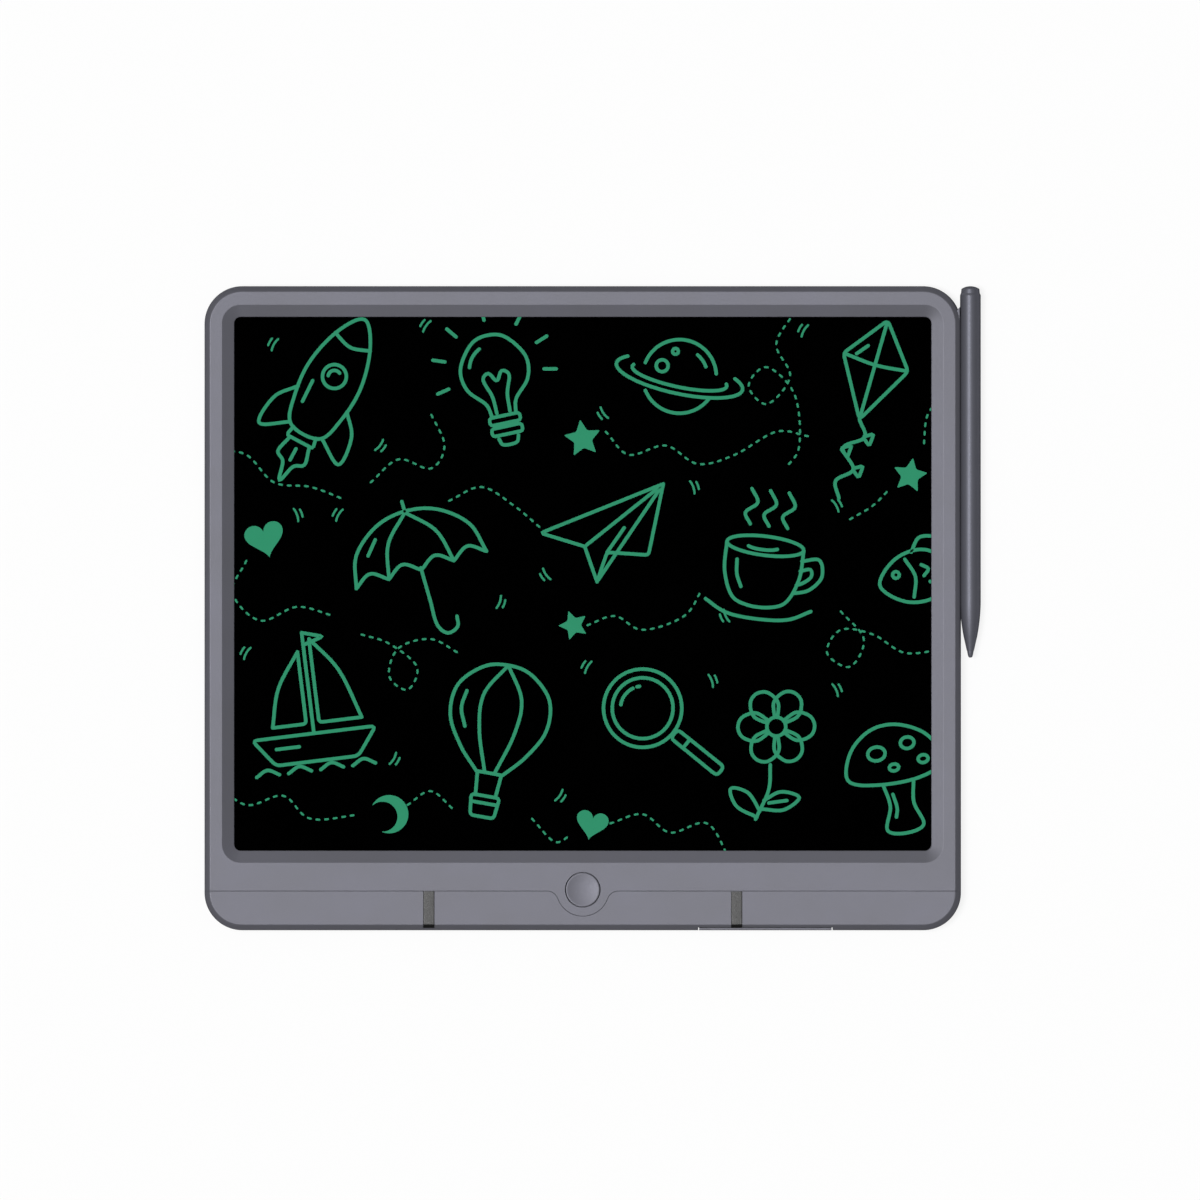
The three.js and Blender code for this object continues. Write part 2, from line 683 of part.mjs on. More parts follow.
// The flex tail leaves the film level, curves down and lies on the board before its connector.
function lcdTail() {
  const start = filmEdge - partsGap;
  const high = filmTopZ - filmThick / 2;
  const low = pcbTopZ + layerGap + tailThick / 2;
  const line = new THREE.CatmullRomCurve3([
    [start, high], [start - tailRun * 0.24, high], [start - tailRun * 0.4, (high + low) / 2],
    [start - tailRun * 0.56, low + layerGap], [start - tailRun, low],
  ].map(([y, z]) => new THREE.Vector3(y, z, 0))).getPoints(14);
  return bentStrip(line.map((p) => [p.x, p.y]), tailThick, tailWidth, tailX);
}

function lcdConnector() {
  const [length, width, height] = connectorSize;
  const edge = filmEdge - 2 * partsGap - tailRun;
  const body = box(tailX - length / 2, tailX + length / 2, edge - width, edge, pcbTopZ,
    pcbTopZ + height);
  const mouthHalf = tailWidth / 2 + partsGap;
  const mouth = box(tailX - mouthHalf, tailX + mouthHalf, edge - width / 3, edge + past,
    pcbTopZ + height * 0.3, pcbTopZ + height * 0.7);
  return cut(body, mouth);
}

// Circuit board and its parts

function circuitBoard() {
  const plate = slab(roundedRing(pcbRight - pcbLeft, pcbTop - pcbBottom, pcbCorner,
    (pcbLeft + pcbRight) / 2, (pcbTop + pcbBottom) / 2), pcbLowZ, pcbTopZ);
  const holes = pcbPins.map((spot) => post(spot, pcbPinRadius + pcbPinGap, 0, throughZ, 8));
  return cut(plate, ...holes);
}

// A driver chip with a row of gull wing legs along both sides.
function driverChip() {
  const [length, width, height] = chipSize;
  const [x, y] = onBoard(chipSpot);
  const legWidth = 0.4;
  const legReach = 1.2;
  const legHigh = pcbTopZ + height / 3;
  let chip = blockOn([x, y], [length, width - legReach, height - layerGap], pcbTopZ + layerGap);
  for (let leg = 0; leg < 4; leg++)
    for (const side of [-1, 1]) {
      const legX = x + (leg - 1.5) * legPitch;
      const footY = y + side * (width + legReach) / 2;
      chip = chip.add(blockOn([legX, y + side * width / 2], [legWidth, legReach + bite, bite], legHigh));
      chip = chip.add(blockOn([legX, footY], [legWidth, bite, legHigh + bite - pcbTopZ], pcbTopZ));
    }
  return chip;
}

// A drum core: two rims and a waist for the winding.
function boostCoil() {
  const rim = coilHeight * 0.2;
  const waist = coilRadius * 0.75;
  const top = pcbTopZ + coilHeight;
  return turned([
    [0, pcbTopZ], [coilRadius, pcbTopZ], [coilRadius, pcbTopZ + rim], [waist, pcbTopZ + rim],
    [waist, top - rim], [coilRadius, top - rim], [coilRadius, top], [0, top],
  ], onBoard(coilSpot), 16);
}

// Erase button and the silicone dome that returns it

function eraseButton() {
  const rimZ = frontZ + buttonProud;
  const flangeTop = plateZ - partsGap;
  const flangeLow = flangeTop - buttonFlangeThick;
  const flangeRadius = buttonRadius + buttonFlange;
  const dishEdge = buttonRadius - buttonRim;
  const dish = Array.from({ length: 5 }, (_, i) => {
    const radius = dishEdge * (1 - i / 4);
    return [radius, rimZ - buttonDish * (1 - (radius / dishEdge) ** 2)];
  });
  return turned([
    [0, domeTopZ + layerGap], [plungerRadius, domeTopZ + layerGap], [plungerRadius, flangeLow],
    [flangeRadius, flangeLow], [flangeRadius, flangeTop], [buttonRadius, flangeTop],
    [buttonRadius, rimZ - buttonEdge], [buttonRadius - buttonEdge, rimZ], ...dish,
  ], [0, buttonY], 28);
}

function siliconeDome() {
  const hollowZ = domeTopZ - 1.5 * domeSkin;
  return turned([
    [0, domeTopZ], [plungerRadius, domeTopZ], [domeRadius * 0.7, pcbTopZ + domeSkin],
    [domeRadius, pcbTopZ + domeSkin], [domeRadius, pcbTopZ], [domeRadius * 0.6, pcbTopZ],
    [plungerRadius * 0.9, hollowZ], [0, hollowZ],
  ], [0, buttonY], 16);
}

// Lock slider and the switch that it works

function lockSlider() {
  const spot = [lockX, buttonY];
  const gripLow = backZ - lockGripProud;
  const gripHigh = backZ + lockRecess - lockFloat;
  const flangeLow = backInnerZ + lockFloat;
  const [gripLength, gripWidth] = lockGrip;
  const [grooveWidth, grooveDepth] = lockGroove;
  const [pegLength, pegWidth, pegHeight] = lockPeg;
  const solid = join(
    blockOn(spot, [...lockGrip, gripHigh - gripLow], gripLow),
    blockOn(spot, [...lockNeck, flangeLow - gripHigh + 2 * bite], gripHigh - bite),
    blockOn(spot, [...lockFlange, lockFlangeThick], flangeLow),
    blockOn(spot, [pegLength, pegWidth, pegHeight], flangeLow),
  );
  const grooves = [-1, 0, 1].map((step) =>
    blockOn([lockX + step * gripLength / 4, buttonY],
      [grooveWidth, gripWidth + past, grooveDepth + past], gripLow - past));
  return cut(solid, ...grooves);
}

function lockSwitch() {
  const [length, width, height] = lockSwitchSize;
  const middle = [lockX + lockTravel / 2, buttonY];
  const low = pcbLowZ - height;
  const slot = [lockTravel + lockPeg[0] + 2 * partsGap, lockPeg[1] + 2 * partsGap, height * 0.6 + past];
  return cut(blockOn(middle, [length, width, height], low), blockOn(middle, slot, low - past));
}

// Battery parts

// The door swings on two hooks at its inner edge, and its lip closes the case's bottom edge.
function batteryDoor() {
  const sheet = box(doorLeft, doorRight, -halfHeight - past, doorTop, 0, doorTopZ);
  const lip = box(doorLeft, doorRight, -halfHeight - past, doorLipThick - halfHeight, 0,
    backZ + doorLipTop);
  const hookLow = backInnerZ + partsGap;
  const hookHigh = hookLow + doorTabThick;
  const neckLow = doorTop - doorTabNeck;
  const hooks = [doorLeft + doorTabInset, doorRight - doorTabInset - doorTabWidth].flatMap((left) => [
    box(left, left + doorTabWidth, neckLow, doorTop, doorTopZ - bite, hookHigh),
    box(left, left + doorTabWidth, neckLow, doorTop + doorTabReach, hookLow, hookHigh),
  ]);
  const boss = post(doorScrew, doorBossRadius, doorTopZ - bite, doorTopZ + doorBossRise);
  return cut(
    join(wholeOuter().intersect(join(sheet, lip)), ...hooks, boss),
    post(doorScrew, screwHeadRadius + partsGap, 0, screwHeadTopZ + layerGap),
    post(doorScrew, screwRadius + screwHoleGap, 0, throughZ, 10),
  );
}

const linkPlate = () => blockOn([doorMiddle, cellY], linkSize, doorTopZ + layerGap / 2);

function coinCell(x) {
  const low = backZ + cellLow;
  const high = low + cellThick;
  const chamfer = 0.4;
  const crimp = cellRadius - 1.1;
  return turned([
    [0, low], [cellRadius - chamfer, low], [cellRadius, low + chamfer], [cellRadius, high - 1.2 * chamfer],
    [crimp + chamfer, high - 0.6 * chamfer], [crimp, high], [0, high],
  ], [x, cellY], 20);
}

// Each cell contact: a sprung finger under the pocket's roof, its tag, a rail and a solder foot.
function cellContact(index) {
  const x = cellXs[index];
  const half = contactThick / 2;
  const z = roofZ - layerGap - half;
  const railY = cellY + pocketOuter + contactRailGap + index * contactRailPitch;
  const low = z - contactRailHeight + contactThick;
  const [footWidth, footReach] = contactFoot;
  const footLeft = pcbRight - footWidth - index * contactFootPitch - 2 * bite;
  const footRight = footLeft + footWidth;
  const footLow = pcbTopZ + layerGap;
  const cellTop = backZ + cellLow + cellThick;
  const touch = cellTop + layerGap + half;
  const finger = bentStrip([
    [railY, z], [cellY + cellRadius * 0.7, z], [cellY + cellRadius * 0.15, touch + half / 2],
    [cellY, touch], [cellY - cellRadius * 0.15, touch + half],
  ], contactThick, contactWidth, x);
  return join(
    finger,
    box(footLeft, x + contactWidth / 2, railY - half, railY + half, low, z + half),
    box(footLeft, footRight, railY - half, railY + half, footLow, low + bite),
    box(footLeft, footRight, pcbTop - footReach, railY + half, footLow, footLow + contactThick),
  );
}

// Fasteners, feet and magnets

// A pan head screw, head down, with a cross recess.
function screw(spot, length) {
  const low = screwHeadLowZ;
  const top = screwHeadTopZ;
  const body = turned([
    [0, low], [screwHeadRadius - screwHeadRound, low], [screwHeadRadius, low + screwHeadRound],
    [screwHeadRadius, top], [screwRadius, top], [screwRadius, top + length], [0, top + length],
  ], spot, 10);
  const bars = [[crossLength, crossWidth], [crossWidth, crossLength]];
  return cut(body, ...bars.map((size) => blockOn(spot, [...size, crossDepth + past], low - past)));
}

function rubberFoot(spot) {
  const top = backZ + footSink - layerGap / 2;
  return turned([
    [0, 0], [footRadius - 0.6, 0], [footRadius - 0.15, 0.2], [footRadius, 0.6], [footRadius, top],
    [0, top],
  ], spot, 18);
}

function holdingMagnet(y) {
  const [thick] = magnetSize;
  return blockOn([halfWidth - rearWall - layerGap - thick / 2, y], magnetSize, backInnerZ + layerGap);
}

// Stylus, turned about its own length; each profile runs from the tip upwards

function stylusPiece(profile, sides = stylusSides) {
  const points = profile.map(([radius, height]) => new THREE.Vector2(radius, height));
  const geometry = new THREE.LatheGeometry(points, sides);
  return solidOf(geometry.translate(stylusX, stylusTipY, stylusZ));
}

function stylusBarrel() {
  const ogive = new THREE.QuadraticBezierCurve(
    new THREE.Vector2(taperKneeRadius, taperKnee),
    new THREE.Vector2(stylusRadius, (taperKnee + taperLength) / 2),
    new THREE.Vector2(stylusRadius, taperLength),
  ).getPoints(8).map((p) => [p.x, p.y]);
  const rim = stylusLength - capLength;
  const nibBore = nibShankRadius + nibGap;
  const nibTop = tipLength + nibShankLength + nibGap;
  return stylusPiece([
    [0, nibTop], [nibBore, nibTop], [nibBore, tipLength], [tipRadius, tipLength], ...ogive,
    [stylusRadius, rim - capChamfer], [capRadius, rim], [boreRadius, rim],
    [boreRadius, boreBottom], [0, boreBottom],
  ]);
}

function stylusCap() {
  const low = stylusLength - capLength + capGap;
  const spigotLow = low - capSpigot;
  const spigotRadius = boreRadius - partsGap;
  const topRadius = stylusRadius - capTopInset;
  const dome = Array.from({ length: 5 }, (_, i) => {
    const turn = (i / 4) * Math.PI / 2;
    return [topRadius * Math.cos(turn), stylusLength - capDome + capDome * Math.sin(turn)];
  });
  return stylusPiece([
    [0, spigotLow], [spigotRadius, spigotLow], [spigotRadius, low], [capRadius, low], ...dome,
  ]);
}

function stylusNib() {
  const neck = tipLength - layerGap;
  const top = tipLength + nibShankLength;
  return stylusPiece([
    [0, 0], [nibRadius * 0.55, 0.12], [nibRadius * 0.85, 0.5], [nibRadius, 1.1],
    [nibRadius + bite, neck], [nibShankRadius, neck], [nibShankRadius, top], [0, top],
  ], stylusSides / 2);
}

// A steel bar that the case's magnets hold, up to the foot of the cap's spigot.
function stylusInsert() {
  const low = boreBottom + layerGap;
  const high = stylusLength - capLength - capSpigot - past;
  const radius = boreRadius - partsGap;
  return stylusPiece([[0, low], [radius, low], [radius, high], [0, high]]);
}

// The scene graph

const looks = {
  greyCase: { color: 0x7f7f89, roughness: 0.5, metalness: 0 },
  greyStylus: { color: 0x5b5d67, roughness: 0.42, metalness: 0 },
  blackRubber: { color: 0x1a1a1c, roughness: 0.8, metalness: 0 },
  blackFilm: { color: 0x050506, roughness: 0.25, metalness: 0 },
  board: { color: 0x2a2b2e, roughness: 0.8, metalness: 0 },
  foam: { color: 0x38393d, roughness: 0.95, metalness: 0 },
  circuit: { color: 0x1d5b38, roughness: 0.5, metalness: 0 },
  chip: { color: 0x17171a, roughness: 0.6, metalness: 0 },
  silicone: { color: 0xd8d8d2, roughness: 0.6, metalness: 0 },
  steel: { color: 0xb9bcc0, roughness: 0.3, metalness: 1 },
  flex: { color: 0xb5772a, roughness: 0.45, metalness: 0 },
};

const tablet = new THREE.Group();
tablet.position.x = outlineShift;

function addNode(name, solid, look) {
  const { vertProperties, triVerts } = solid.getMesh();
  const geometry = new THREE.BufferGeometry();
  geometry.setAttribute("position", new THREE.BufferAttribute(new Float32Array(vertProperties), 3));
  geometry.setIndex(new THREE.BufferAttribute(new Uint32Array(triVerts), 1));
  geometry.computeVertexNormals();
  const mesh = new THREE.Mesh(geometry, new THREE.MeshStandardMaterial(looks[look]));
  mesh.name = name;
  tablet.add(mesh);
}

const form = frontForm();
addNode("front_bezel", frontBezel(form), "greyCase");
addNode("bottom_bar", bottomBar(form), "greyCase");
addNode("rear_shell", rearShell(), "greyCase");
addNode("rubber_strip_left", rubberStrip(-stripSpread), "blackRubber");
addNode("rubber_strip_right", rubberStrip(stripSpread), "blackRubber");
addNode("lcd_film", lcdFilm(), "blackFilm");
addNode("backing_board", backingBoard(), "board");
addNode("foam_sheet", foamSheet(), "foam");
addNode("lcd_flex_tail", lcdTail(), "flex");
addNode("lcd_connector", lcdConnector(), "chip");
addNode("circuit_board", circuitBoard(), "circuit");
addNode("driver_chip", driverChip(), "chip");
addNode("boost_coil", boostCoil(), "chip");
addNode("smoothing_capacitor", blockOn(onBoard(capacitorSpot), capacitorSize, pcbTopZ), "flex");
addNode("erase_button", eraseButton(), "greyCase");
addNode("silicone_dome", siliconeDome(), "silicone");
addNode("lock_slider", lockSlider(), "blackRubber");
addNode("lock_switch_body", lockSwitch(), "steel");
addNode("battery_door", batteryDoor(), "greyCase");
addNode("battery_door_screw", screw(doorScrew, doorScrewLength), "steel");
addNode("battery_link_plate", linkPlate(), "steel");
cellXs.forEach((x, i) => addNode(`coin_cell_${i + 1}`, coinCell(x), "steel"));
cellXs.forEach((x, i) => addNode(`battery_contact_${i + 1}`, cellContact(i), "steel"));
caseScrews.forEach((spot, i) => addNode(`case_screw_${i + 1}`, screw(spot, screwLength), "steel"));
feet.forEach((spot, i) => addNode(`rubber_foot_${i + 1}`, rubberFoot(spot), "blackRubber"));
magnetYs.forEach((y, i) => addNode(`stylus_magnet_${i + 1}`, holdingMagnet(y), "steel"));
addNode("stylus_barrel", stylusBarrel(), "greyStylus");
addNode("stylus_cap", stylusCap(), "greyStylus");
addNode("stylus_nib", stylusNib(), "greyStylus");
addNode("stylus_steel_insert", stylusInsert(), "steel");

export default tablet;
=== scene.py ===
from math import pi, radians, tan

import bmesh
import bpy
import numpy as np
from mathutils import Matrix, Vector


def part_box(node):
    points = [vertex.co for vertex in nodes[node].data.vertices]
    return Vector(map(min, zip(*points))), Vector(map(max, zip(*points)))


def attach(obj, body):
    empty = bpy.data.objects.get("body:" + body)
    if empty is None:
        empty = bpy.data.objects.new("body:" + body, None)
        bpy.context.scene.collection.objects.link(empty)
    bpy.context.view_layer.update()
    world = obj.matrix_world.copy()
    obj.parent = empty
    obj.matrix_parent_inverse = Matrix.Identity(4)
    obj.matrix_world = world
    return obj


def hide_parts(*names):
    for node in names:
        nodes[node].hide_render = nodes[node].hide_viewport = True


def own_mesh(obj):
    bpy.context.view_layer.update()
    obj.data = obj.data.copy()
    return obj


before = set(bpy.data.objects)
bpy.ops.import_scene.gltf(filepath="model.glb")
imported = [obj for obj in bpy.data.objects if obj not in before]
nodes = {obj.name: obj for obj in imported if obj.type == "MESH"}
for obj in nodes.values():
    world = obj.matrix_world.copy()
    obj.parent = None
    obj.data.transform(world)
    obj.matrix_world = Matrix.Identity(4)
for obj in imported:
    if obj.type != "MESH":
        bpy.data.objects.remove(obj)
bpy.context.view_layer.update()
scene = bpy.context.scene
scene.view_settings.view_transform = "Standard"


# Meshes: sizes in millimetres round the case's middle, made metres when placed

bezelLow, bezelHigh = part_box("front_bezel")
middleX = 500 * (bezelLow.x + bezelHigh.x)  # the case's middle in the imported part
mergeDistance, shortestEdge = 2e-6, 1e-7  # metres
sharpAngle = 32  # degrees between faces from which an edge stays sharp


def newObject(name, data):
    # An object for the data, linked into the scene
    made = bpy.data.objects.new(name, data)
    scene.collection.objects.link(made)
    return made


def columns(*parts):
    # Points from their coordinates, side by side
    return np.column_stack(parts)


def rows(*parts):
    # Points and lines of points, one after another
    return np.vstack(parts)


def gridFaces(down, along, wrapRows=False, wrapColumns=False, caps=False):
    # Quads between neighbouring points of a grid; a wrap joins its last line to its first
    number = np.arange(down * along).reshape(down, along)
    if wrapRows:
        number = rows(number, number[:1])
    if wrapColumns:
        number = np.hstack([number, number[:, :1]])
    corners = [number[:-1, :-1], number[:-1, 1:], number[1:, 1:], number[1:, :-1]]
    faces = np.stack(corners, axis=-1).reshape(-1, 4).tolist()
    if caps:
        faces += [number[:down, 0].tolist(), number[:down, along - 1][::-1].tolist()]
    return faces


def smoothed(mesh, sharpest):
    # Smooth shading, with the edges sharper than this angle in degrees kept
    mesh.shade_smooth()
    mesh.set_sharp_from_angle(angle=radians(sharpest))


def meshPiece(name, *parts, sharpest=sharpAngle):
    # One object from (points, faces) parts: doubles merged, faces outwards, flats kept flat
    vertices, faces, start = [], [], 0
    for points, partFaces in parts:
        vertices.append(points.reshape(-1, 3))
        faces += [[start + corner for corner in face] for face in partFaces]
        start += len(vertices[-1])
    placed = (np.vstack(vertices) + [middleX, 0, 0]) / 1000
    mesh = bpy.data.meshes.new(name)
    mesh.from_pydata(placed.tolist(), [], faces)
    work = bmesh.new()
    work.from_mesh(mesh)
    bmesh.ops.remove_doubles(work, verts=work.verts, dist=mergeDistance)
    bmesh.ops.dissolve_degenerate(work, edges=work.edges, dist=shortestEdge)
    bmesh.ops.recalc_face_normals(work, faces=work.faces)
    work.to_mesh(mesh)
    work.free()
    smoothed(mesh, sharpest)
    return newObject(name, mesh)


def dress(piece, look):
    # The piece's only material, by its name
    piece.data.materials.clear()
    piece.data.materials.append(bpy.data.materials[look])


def finishPiece(piece, look, slot, body, *replaced):
    # Its look, the body that it rides on, and the CAD nodes that it stands for; its slot is not
    # used
    dress(piece, look)
    weighted = piece.modifiers.new("flat faces stay flat", "WEIGHTED_NORMAL")
    weighted.keep_sharp = True
    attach(piece, body)
    if replaced:
        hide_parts(*replaced)


def carve(piece, *cutters):
    # Cuts the other shapes out of the piece for good, then removes them
    for cutter in cutters:
        cut = piece.modifiers.new("cut", "BOOLEAN")
        cut.operation = "DIFFERENCE"
        cut.solver = "EXACT"
        cut.object = cutter
    graph = bpy.context.evaluated_depsgraph_get()
    carved = bpy.data.meshes.new_from_object(piece.evaluated_get(graph))
    piece.modifiers.clear()
    piece.data = carved
    smoothed(carved, sharpAngle)
    for cutter in cutters:
        bpy.data.objects.remove(cutter)


def gridPart(points, **wraps):
    # A grid of points, in rows and columns, with the faces between them
    return points, gridFaces(*points.shape[:2], **wraps)


def spun(profile, sides):
    # A profile carried once round: radius times cosine, radius times sine, and height
    radius, height = np.hsplit(np.array(profile, float), 2)
    turn = np.linspace(0, 2 * pi, sides, endpoint=False)
    return radius * np.cos(turn), radius * np.sin(turn), height


def turnedPart(profile, x, y, sides=96):
    # The profile spun round the upright line through x, y
    across, along, height = spun(profile, sides)
    points = np.stack(np.broadcast_arrays(x + across, y + along, height), axis=-1)
    return gridPart(points, wrapColumns=True)


def arc(centre, turnFrom, turnTo, radius, steps):
    # An arc: its centre with radius times cosine and sine, between two angles in degrees
    turn = np.radians(np.linspace(turnFrom, turnTo, steps))
    return np.array(centre) + radius * columns(np.cos(turn), np.sin(turn))


def pulledCurve(start, corner, end, share):
    # A curve pulled towards its corner: at share t of the way (1 - t) squared of the start,
    # 2t(1 - t) of the corner and t squared of the end
    return (1 - share) ** 2 * start + 2 * share * (1 - share) * corner + share ** 2 * end


def summed(steps):
    # The running sum, from nought
    return np.r_[0, np.cumsum(steps)]


def unit(vectors):
    # The vectors at a length of one
    return vectors / np.maximum(np.linalg.norm(vectors, axis=1), 1e-9)[:, None]


def raised(places, level):
    # The places with one more column, the same level all along
    return columns(places, np.full(len(places), level))


# Materials

def linear(hexColour):
    # An sRGB hex colour as the linear values that Blender mixes
    values = np.array([int(hexColour[i:i + 2], 16) for i in (1, 3, 5)]) / 255
    mixed = np.where(values <= 0.04045, values / 12.92, ((values + 0.055) / 1.055) ** 2.4)
    return (*mixed.tolist(), 1.0)


def addNode(tree, kind, settings=(), values=(), links=()):
    # One shader node with its own settings, the values of its sockets, and what feeds them
    node = tree.nodes.new("ShaderNode" + kind)
    for name, value in dict(settings).items():
        setattr(node, name, value)
    for name, value in dict(values).items():
        node.inputs[name].default_value = value
    for name, source in dict(links).items():
        tree.links.new(source, node.inputs[name])
    return node


def emptyTree(owner):
    # The node tree of a material or a world, with nothing in it
    owner.use_nodes = True
    owner.node_tree.nodes.clear()
    return owner.node_tree


surface = {"grainNoise": {"Detail": 3.0, "Roughness": 0.6}, "grainFrom": 0.3, "grainTo": 0.7,
           "patchNoise": {"Detail": 2.0, "Roughness": 0.5}}


def mouldedLook(name, colour, shade, roughness, grainMm, grainDepthMm, patchMm=18,
                roughSpread=0.05, specular=0.5, **extra):
    # Fine grain in height and gloss, and slow patches of tone; sockets 6 and 7 of the mix are
    # its two colours
    tree = emptyTree(bpy.data.materials.new(name))
    place = addNode(tree, "TexCoord").outputs["Object"]
    grain = addNode(tree, "TexNoise", values={
        "Scale": 1000 / grainMm, **surface["grainNoise"]}, links={"Vector": place})
    patches = addNode(tree, "TexNoise", values={
        "Scale": 1000 / patchMm, **surface["patchNoise"]}, links={"Vector": place})
    tone = addNode(tree, "Mix", {"data_type": "RGBA"}, {
        6: linear(shade), 7: linear(colour)}, {"Factor": patches.outputs["Fac"]})
    gloss = addNode(tree, "MapRange", values={
        "From Min": surface["grainFrom"], "From Max": surface["grainTo"],
        "To Min": roughness - roughSpread, "To Max": roughness + roughSpread},
        links={"Value": grain.outputs["Fac"]})
    bump = addNode(tree, "Bump", values={
        "Strength": 1.0, "Distance": grainDepthMm / 1000}, links={"Height": grain.outputs["Fac"]})
    shader = addNode(tree, "BsdfPrincipled", values={
        "Specular IOR Level": specular, **extra}, links={
        "Base Color": tone.outputs[2], "Roughness": gloss.outputs["Result"],
        "Normal": bump.outputs["Normal"]})
    addNode(tree, "OutputMaterial", links={"Surface": shader.outputs["BSDF"]})


# Fine aluminium flake in the resin: light where it faces the lamp, and dark as it turns away
flakeSheen = {"IOR": 1.53, "specular": 0.03, "Metallic": 0.4, "Specular Tint": linear("#101010")}

# Each row: colour and shade, roughness, and the grain's width and depth in millimetres
looks = {
    # Moulded ABS with flake: a soft grey sheen under a faint spark-eroded grain
    "flakeFilledCaseAbs": ("#676770", "#636369", 0.44, 0.55, 0.006, flakeSheen),
    # The same resin on the stylus, with a finer grain and so a clean line of light along it
    "flakeFilledStylusAbs": ("#65666F", "#61626A", 0.455, 0.4, 0.003, flakeSheen),
    # Moulded silicone rubber: near black with a dull bloom where light falls straight on it
    "mouldedStripRubber": ("#060606", "#040404", 0.3, 0.5, 0.006, {"specular": 0.43}),
    # Moulded foot rubber: dark grey and dull all over
    "footRubber": ("#1B1B1D", "#161618", 0.6, 0.5, 0.01, {}),
    # Matt black cholesteric film: it swallows light, so that only the written lines show
    "mattBlackFilm": ("#010101", "#000000", 0.5, 0.6, 0.002, {"specular": 0.0}),
    # Liquid crystal that pressure has turned bright green, flush in the film
    "litGreenCrystal": ("#31946D", "#2E8F69", 0.6, 0.8, 0.001, {"patchMm": 6, "specular": 0.05}),
    # Pressed fibre board: dark and matt, with a coarse felt
    "pressedFibreBoard": ("#2C2D30", "#242528", 0.8, 0.7, 0.02, {}),
    # Closed cell foam: grey, without gloss, and pitted by its cells
    "closedCellFoam": ("#3A3B3F", "#313236", 0.9, 0.8, 0.05, {}),
    # Solder mask over laminate: a smooth green lacquer
    "greenSolderMask": ("#1E5E3A", "#184F30", 0.35, 2.5, 0.01, {"patchMm": 7}),
    # Moulded epoxy of chips and connectors: black, with a satin face
    "mouldedChipEpoxy": ("#1A1A1D", "#141416", 0.55, 0.3, 0.006, {}),
    # Uncoloured silicone: milky and softly glossy
    "milkySilicone": ("#D9D9D3", "#CFCFC8", 0.5, 0.8, 0.005, {}),
    # Plated steel: bright, with fine rolling marks
    "nickelPlatedSteel": ("#BFC1C4", "#B2B4B8", 0.28, 0.25, 0.002, {"Metallic": 1.0}),
    # Polyimide film over copper: amber, with a slight gloss
    "polyimideFlex": ("#B8792C", "#A86C24", 0.4, 0.5, 0.004, {}),
}
for name, (*values, extra) in looks.items():
    mouldedLook(name, *values, **extra)
print("materials made")


# Carried-over CAD nodes: welded, smooth across their facets, sharp at their edges

carriedNodes = {
    "flakeFilledCaseAbs": ("front_bezel", "bottom_bar", "rear_shell", "battery_door",
                           "erase_button"),
    "flakeFilledStylusAbs": ("stylus_barrel", "stylus_cap", "stylus_nib"),
    "mouldedStripRubber": ("rubber_strip_left", "rubber_strip_right"),
    "footRubber": ("lock_slider", *[f"rubber_foot_{number}" for number in range(1, 5)]),
    "mattBlackFilm": ("lcd_film",), "pressedFibreBoard": ("backing_board",),
    "closedCellFoam": ("foam_sheet",), "greenSolderMask": ("circuit_board",),
    "mouldedChipEpoxy": ("lcd_connector", "driver_chip", "boost_coil"),
    "milkySilicone": ("silicone_dome",), "polyimideFlex": ("lcd_flex_tail", "smoothing_capacitor"),
}
lookOf = {name: look for look, names in carriedNodes.items() for name in names}
for name, node in nodes.items():
    dress(node, lookOf.get(name, "nickelPlatedSteel"))
    node.data.polygons.foreach_set("use_smooth", np.ones(len(node.data.polygons), dtype=bool))
    weld = node.modifiers.new("weld", "WELD")
    weld.merge_threshold = mergeDistance
    split = node.modifiers.new("sharp edges", "EDGE_SPLIT")
    split.split_angle = radians(30)  # sharper edges of the solid stay edges
    node.modifiers.new("flat faces stay flat", "WEIGHTED_NORMAL")
print("carried-over nodes dressed")


# The front of the case: a bezel and a bottom bar that share one rolled outer form

case = {
    "width": 328.3, "height": 279.5, "corner": 16.4,
    "front": 10.4, "parting": 5.3, "wall": 2.2, "plate": 8.6, "partingEdge": 0.15,
    "rollWay": [0, 0.5, 2.05, 2.5, 3.6, 3.9], "rollTilt": [0, 27, 33, 60, 72, 90],
    "windowWidth": 302.5, "windowHeight": 231.6, "windowCorner": 2.8, "windowRise": 10.6,
    "bevelWidth": 5.3, "bevelDepth": 1.4, "lipLow": 8.2, "lipEdge": 0.35, "bevelEdge": 0.8,
    "lipWidth": 1.2, "seamY": -122.7, "seamGap": 0.11, "seamEdge": 0.1,
    "dipRadius": 11.4, "dipFillet": 5.0, "dipStart": 15.6,
    "buttonY": -122.2, "holeRadius": 7.64, "holeEdge": 0.12, "holeFrom": 5, "holeTo": 12,
    "channelRadius": 4.75, "channelFrom": 5.05, "channelTo": 170,
}
# Points on each stretch, the same for the window and the bezel, so that they pair up
counts = {"side": 60, "corner": 34, "lowCorner": 13, "fillet": 14, "dip": 61, "roll": 33,
          "lip": 7, "crest": 6, "barSide": 50, "barCorner": 36, "strip": 60, "web": 24}
# The middle of the frame's round corner at the top right
cornerX, cornerY = case["width"] / 2 - case["corner"], case["height"] / 2 - case["corner"]


def rollLevels():
    # Inset and height down the outer edge: short steps summed in the direction of a tilt that
    # is given in degrees along the way and changes evenly between
    way = np.linspace(0, case["rollWay"][-1], counts["roll"])
    tilt = np.radians(np.interp(way, case["rollWay"], case["rollTilt"]))
    middle = (tilt[:-1] + tilt[1:]) / 2
    reach, drop = summed(way[1] * np.cos(middle)), summed(way[1] * np.sin(middle))
    return columns(reach[-1] - reach, case["front"] - drop)


